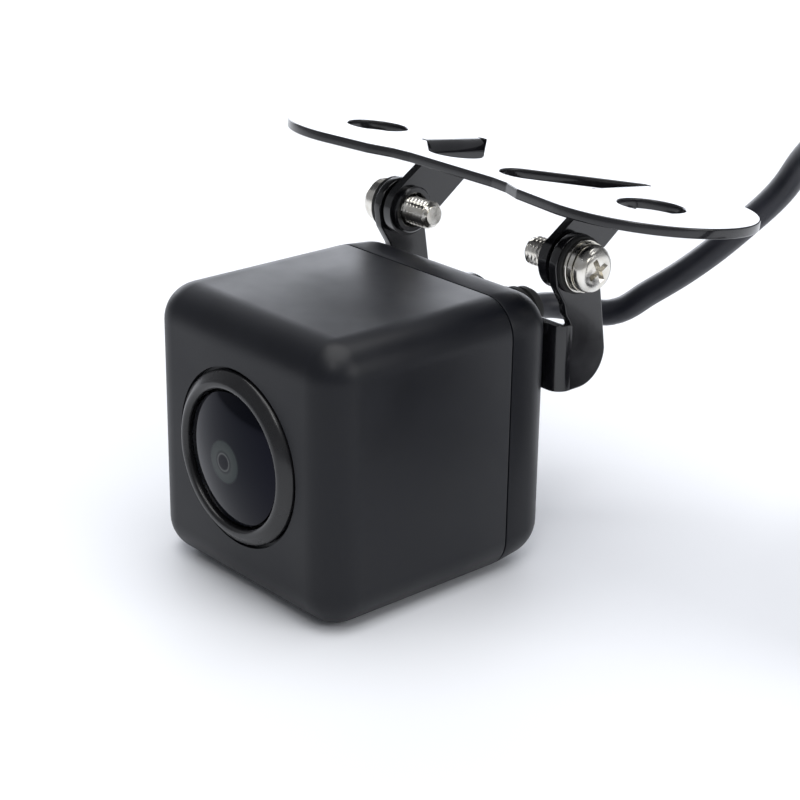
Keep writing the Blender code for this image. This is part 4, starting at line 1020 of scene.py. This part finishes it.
def screw_mesh(name, head, tip, under, matrix):
    """A turned head and a helical thread. head is (radius, height) from the crown to under the head."""
    steps = 40
    bm = bmesh.new()
    count = max(8, round((under - tip) / THREAD_PITCH * 8))
    rows = [row(bm, radius, height, steps) for radius, height in head]
    for step in range(count + 1):
        height = under - (under - tip) * step / count
        radii = []
        for i in range(steps):
            ridge = abs(2.0 * ((height / THREAD_PITCH - i / steps) % 1.0) - 1.0)
            radius = SHAFT_RADIUS - THREAD_DEPTH * ridge
            radius -= TIP_TAPER * ease((tip + TIP_LENGTH - height) / TIP_LENGTH)
            raised = ease((under - height) / THREAD_START)
            radii.append(SHAFT_RADIUS - THREAD_DEPTH + (radius - SHAFT_RADIUS + THREAD_DEPTH) * raised)
        rows.append(ring(bm, radii, height))
    rows.append([bm.verts.new((0, 0, tip - 0.02 * MM))])
    bridge(bm, zip(rows, rows[1:]), steps)
    body = finished(bm, name, sharp=24.0)
    mesh = cut(body, cross_blades(head[0][1], 0.62 * MM, 1.5 * MM, 0.95 * MM, 27.0), name)
    mesh.transform(matrix)
    return mesh


def washer(name, inner, outer, low, high, matrix):
    soft = WASHER_SOFT
    profile = [
        (inner, high - soft), (inner + soft, high), (outer - soft, high), (outer, high - soft),
        (outer, low + soft), (outer - soft, low), (inner + soft, low), (inner, low + soft),
    ]
    return turned(name, profile, matrix, 72)


def split_ring(name, inner, outer, low, high, matrix):
    """A spring washer: one turn of square wire, cut across and slightly sprung open."""
    bm = bmesh.new()
    steps = 64
    sections = []
    for i in range(steps + 1):
        t = i / steps
        angle = math.radians(8.0 + 344.0 * t)
        rise = 0.1 * MM * (t - 0.5)
        corners = [(inner, low), (outer, low), (outer, high), (inner, high)]
        sections.append(
            [bm.verts.new((r * math.cos(angle), r * math.sin(angle), h + rise)) for r, h in corners]
        )
    for a, b in zip(sections, sections[1:]):
        for k in range(4):
            bm.faces.new((a[k], a[(k + 1) % 4], b[(k + 1) % 4], b[k]))
    bm.faces.new(list(reversed(sections[0])))
    bm.faces.new(sections[-1])
    return finished(bm, name, matrix)


def make_pivot_hardware():
    """On each side a pivot screw, which turns by itself, and three washers that follow the plate."""
    for side, label in ((-1, "left"), (1, "right")):
        low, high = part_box(f"pivot_screw_{label}")
        tip, outer = sorted((abs(low[0]), abs(high[0])))
        matrix = side_frame(side)
        head = [(0, outer)] + [(r * MM, outer - h * MM) for r, h in PIVOT_HEAD]
        mesh = screw_mesh(f"screw_{label}", head, tip, outer - PIVOT_HEAD_HEIGHT, matrix)
        add_piece(f"screw_{label}", mesh, "nickel", f"{label}_screw", f"pivot_screw_{label}")
        for kind, look in (("friction_washer", "seal_rubber"), ("flat_washer", "nickel")):
            low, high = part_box(f"{kind}_{label}")
            near, far = sorted((abs(low[0]), abs(high[0])))
            near, far = near - WASHER_SPARE, far + WASHER_SPARE
            name = f"{kind}_ring_{label}"
            mesh = washer(name, WASHER_HOLE, (high[2] - low[2]) / 2, near, far, matrix)
            add_piece(name, mesh, look, PLATE_BODY, f"{kind}_{label}")
        low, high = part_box(f"spring_washer_{label}")
        near, far = sorted((abs(low[0]), abs(high[0])))
        name = f"spring_ring_{label}"
        mesh = split_ring(name, WASHER_HOLE, (high[2] - low[2]) / 2, near, far, matrix)
        add_piece(name, mesh, "nickel", PLATE_BODY, f"spring_washer_{label}")


make_pivot_hardware()
for number, node in enumerate(COVER_SCREWS, 1):
    rear_screw(node, 1.7 * MM, 0.9 * MM, 1.0 * MM, 20.0 + 31.0 * number)
for node, spin in zip(BRACKET_SCREWS, (12.0, 58.0)):
    rear_screw(node, 1.7 * MM, 1.2 * MM, 0.9 * MM, spin)


# ---- cord, strain relief and connector


def make_cord():
    """One Bezier curve from the strain relief to the connector, with the pieces that go with it."""
    points = cord_points()
    curve = bpy.data.curves.new("cord_run", "CURVE")
    curve.dimensions = "3D"
    curve.bevel_depth = CORD_DIAMETER / 2
    curve.bevel_resolution = 5
    curve.resolution_u = 6
    curve.use_fill_caps = True
    spline = curve.splines.new("BEZIER")
    spline.bezier_points.add(len(points) - 1)
    for place, point in zip(spline.bezier_points, points):
        place.co = point
        place.handle_left_type = "AUTO"
        place.handle_right_type = "AUTO"
    curve.materials.append(LOOKS["cord_jacket"])
    obj = bpy.data.objects.new("cord_run", curve)
    bpy.context.scene.collection.objects.link(obj)
    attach(obj, CAMERA_BODY)
    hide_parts("cord", "cord_coil", "cord_tail")
    with_pieces = [make_plug()] + [
        bpy.data.objects[name]
        for name in ("cord_tie", "connector_insert", *(f"connector_pin_{i}" for i in range(1, 5)))
    ]


def make_plug():
    """The connector: a ribbed boot, a grip with ridges, a flange and an open socket."""
    length = (CONNECTOR_HIGH.y - CONNECTOR_LOW.y) / MM
    x = (CONNECTOR_LOW.x + CONNECTOR_HIGH.x) / 2
    z = (CONNECTOR_LOW.z + CONNECTOR_HIGH.z) / 2
    matrix = rear_frame(x, CONNECTOR_LOW.y, z)
    outer = [(1.45, 0.0), (2.2, 0.0), (2.3, 0.15)]  # (radius, height) in millimetres, from the cord's end
    for i in range(4):
        start = 0.5 + 2.0 * i
        radius = 2.35 + 0.5 * i
        outer += [
            (radius, start), (radius + 0.32, start + 0.3), (radius + 0.4, start + 1.0),
            (radius + 0.02, start + 1.15), (radius + 0.1, start + 1.85),
        ]
    outer += [(4.4, 8.7), (4.9, 9.1), (5.0, 9.6)]
    for i in range(5):
        start = 10.4 + 1.3 * i
        outer += [(5.0, start), (4.75, start + 0.15), (4.75, start + 0.55), (5.0, start + 0.7)]
    outer += [(5.0, 18.0), (4.85, 18.1), (4.85, 18.9), (5.0, 19.0), (5.0, length - 0.3), (4.85, length)]
    outer += [(4.1, length), (4.0, length - 0.15), (4.0, length - 7.0), (0.0, length - 7.0)]
    profile = [(0.0, 8.3), (1.45, 8.3), *outer]
    profile = [(r * MM, h * MM) for r, h in profile]
    mesh = turned("connector_shell", profile, matrix, 72)
    return add_piece("connector_shell", mesh, "connector_plastic", CAMERA_BODY, "connector_body")


def make_gland():
    """The rubber strain relief's tapered tail, with shallow ribs."""
    tail = GLAND_HIGH.y
    inside = GLAND_LOW.y
    matrix = rear_frame(0.0, 0.0, GLAND_Z)
    profile = [(1.45 * MM, tail), (2.1 * MM, tail), (2.2 * MM, tail - 0.15 * MM)]
    for i in range(5):
        start = tail - 0.5 * MM - 1.3 * MM * i
        radius = 2.25 * MM + 0.24 * MM * i
        profile += [
            (radius, start), (radius + 0.22 * MM, start - 0.15 * MM),
            (radius + 0.24 * MM, start - 0.75 * MM), (radius, start - 0.9 * MM),
        ]
    start = tail - 7.2 * MM
    profile += [
        (3.45 * MM, start), (3.6 * MM, start - 0.2 * MM), (3.6 * MM, start - 0.8 * MM),
        (3.0 * MM, start - 0.8 * MM), (3.0 * MM, inside + MM), (4.4 * MM, inside + MM),
        (4.4 * MM, inside), (1.45 * MM, inside),
    ]
    mesh = turned("strain_relief", profile, matrix, 72)
    add_piece("strain_relief", mesh, "seal_rubber", CAMERA_BODY, "cable_gland")


make_cord()
make_gland()


# ---- studio


def make_stage():
    bm = bmesh.new()
    bmesh.ops.create_grid(bm, x_segments=1, y_segments=1, size=3.0)
    mesh = bpy.data.meshes.new("floor")
    bm.to_mesh(mesh)
    bm.free()
    floor = bpy.data.objects.new("floor", mesh)
    floor.location.z = -0.0001
    bpy.context.scene.collection.objects.link(floor)
    made = material("floor_paper")
    tree, shader = nodes_of(made)
    wide = noise(tree, coordinates(tree), 12.0)
    link(tree, ramp(tree, wide, (0.84, 0.855, 0.89), (0.87, 0.885, 0.915)), shader.inputs["Base Color"])
    shader.inputs["Roughness"].default_value = 0.6
    mesh.materials.append(made)


def area_light(name, place, target, size, power, colour=(1.0, 1.0, 1.0)):
    data = bpy.data.lights.new(name, "AREA")
    data.shape = "RECTANGLE"
    data.size, data.size_y = size
    data.energy = power
    data.color = colour
    light = bpy.data.objects.new(name, data)
    place, target = Vector(place), Vector(target)
    facing = (place - target).to_track_quat("Z", "Y").to_matrix().to_4x4()
    light.matrix_world = Matrix.Translation(place) @ facing
    bpy.context.scene.collection.objects.link(light)


def make_lights():
    middle = (0.0, 0.0, 0.02)
    area_light("top", (0.05, 0.05, 0.95), middle, (1.0, 1.0), 8.6)
    area_light("back_left", (-0.74, 0.5, 0.22), middle, (1.1, 0.42), 4.2, (0.9, 0.93, 1.0))
    area_light("front_high", (0.36, -0.42, 0.66), middle, (0.2, 0.2), 0.9)
    area_light("right_fill", (0.75, 0.25, 0.4), middle, (0.5, 0.4), 1.8)
    world = bpy.data.worlds.new("studio")
    world.use_nodes = True
    world.node_tree.nodes["Background"].inputs["Color"].default_value = (0.93, 0.95, 1.0, 1.0)
    world.node_tree.nodes["Background"].inputs["Strength"].default_value = 0.32
    bpy.context.scene.world = world


make_stage()
make_lights()
bpy.context.scene.view_settings.view_transform = "Standard"
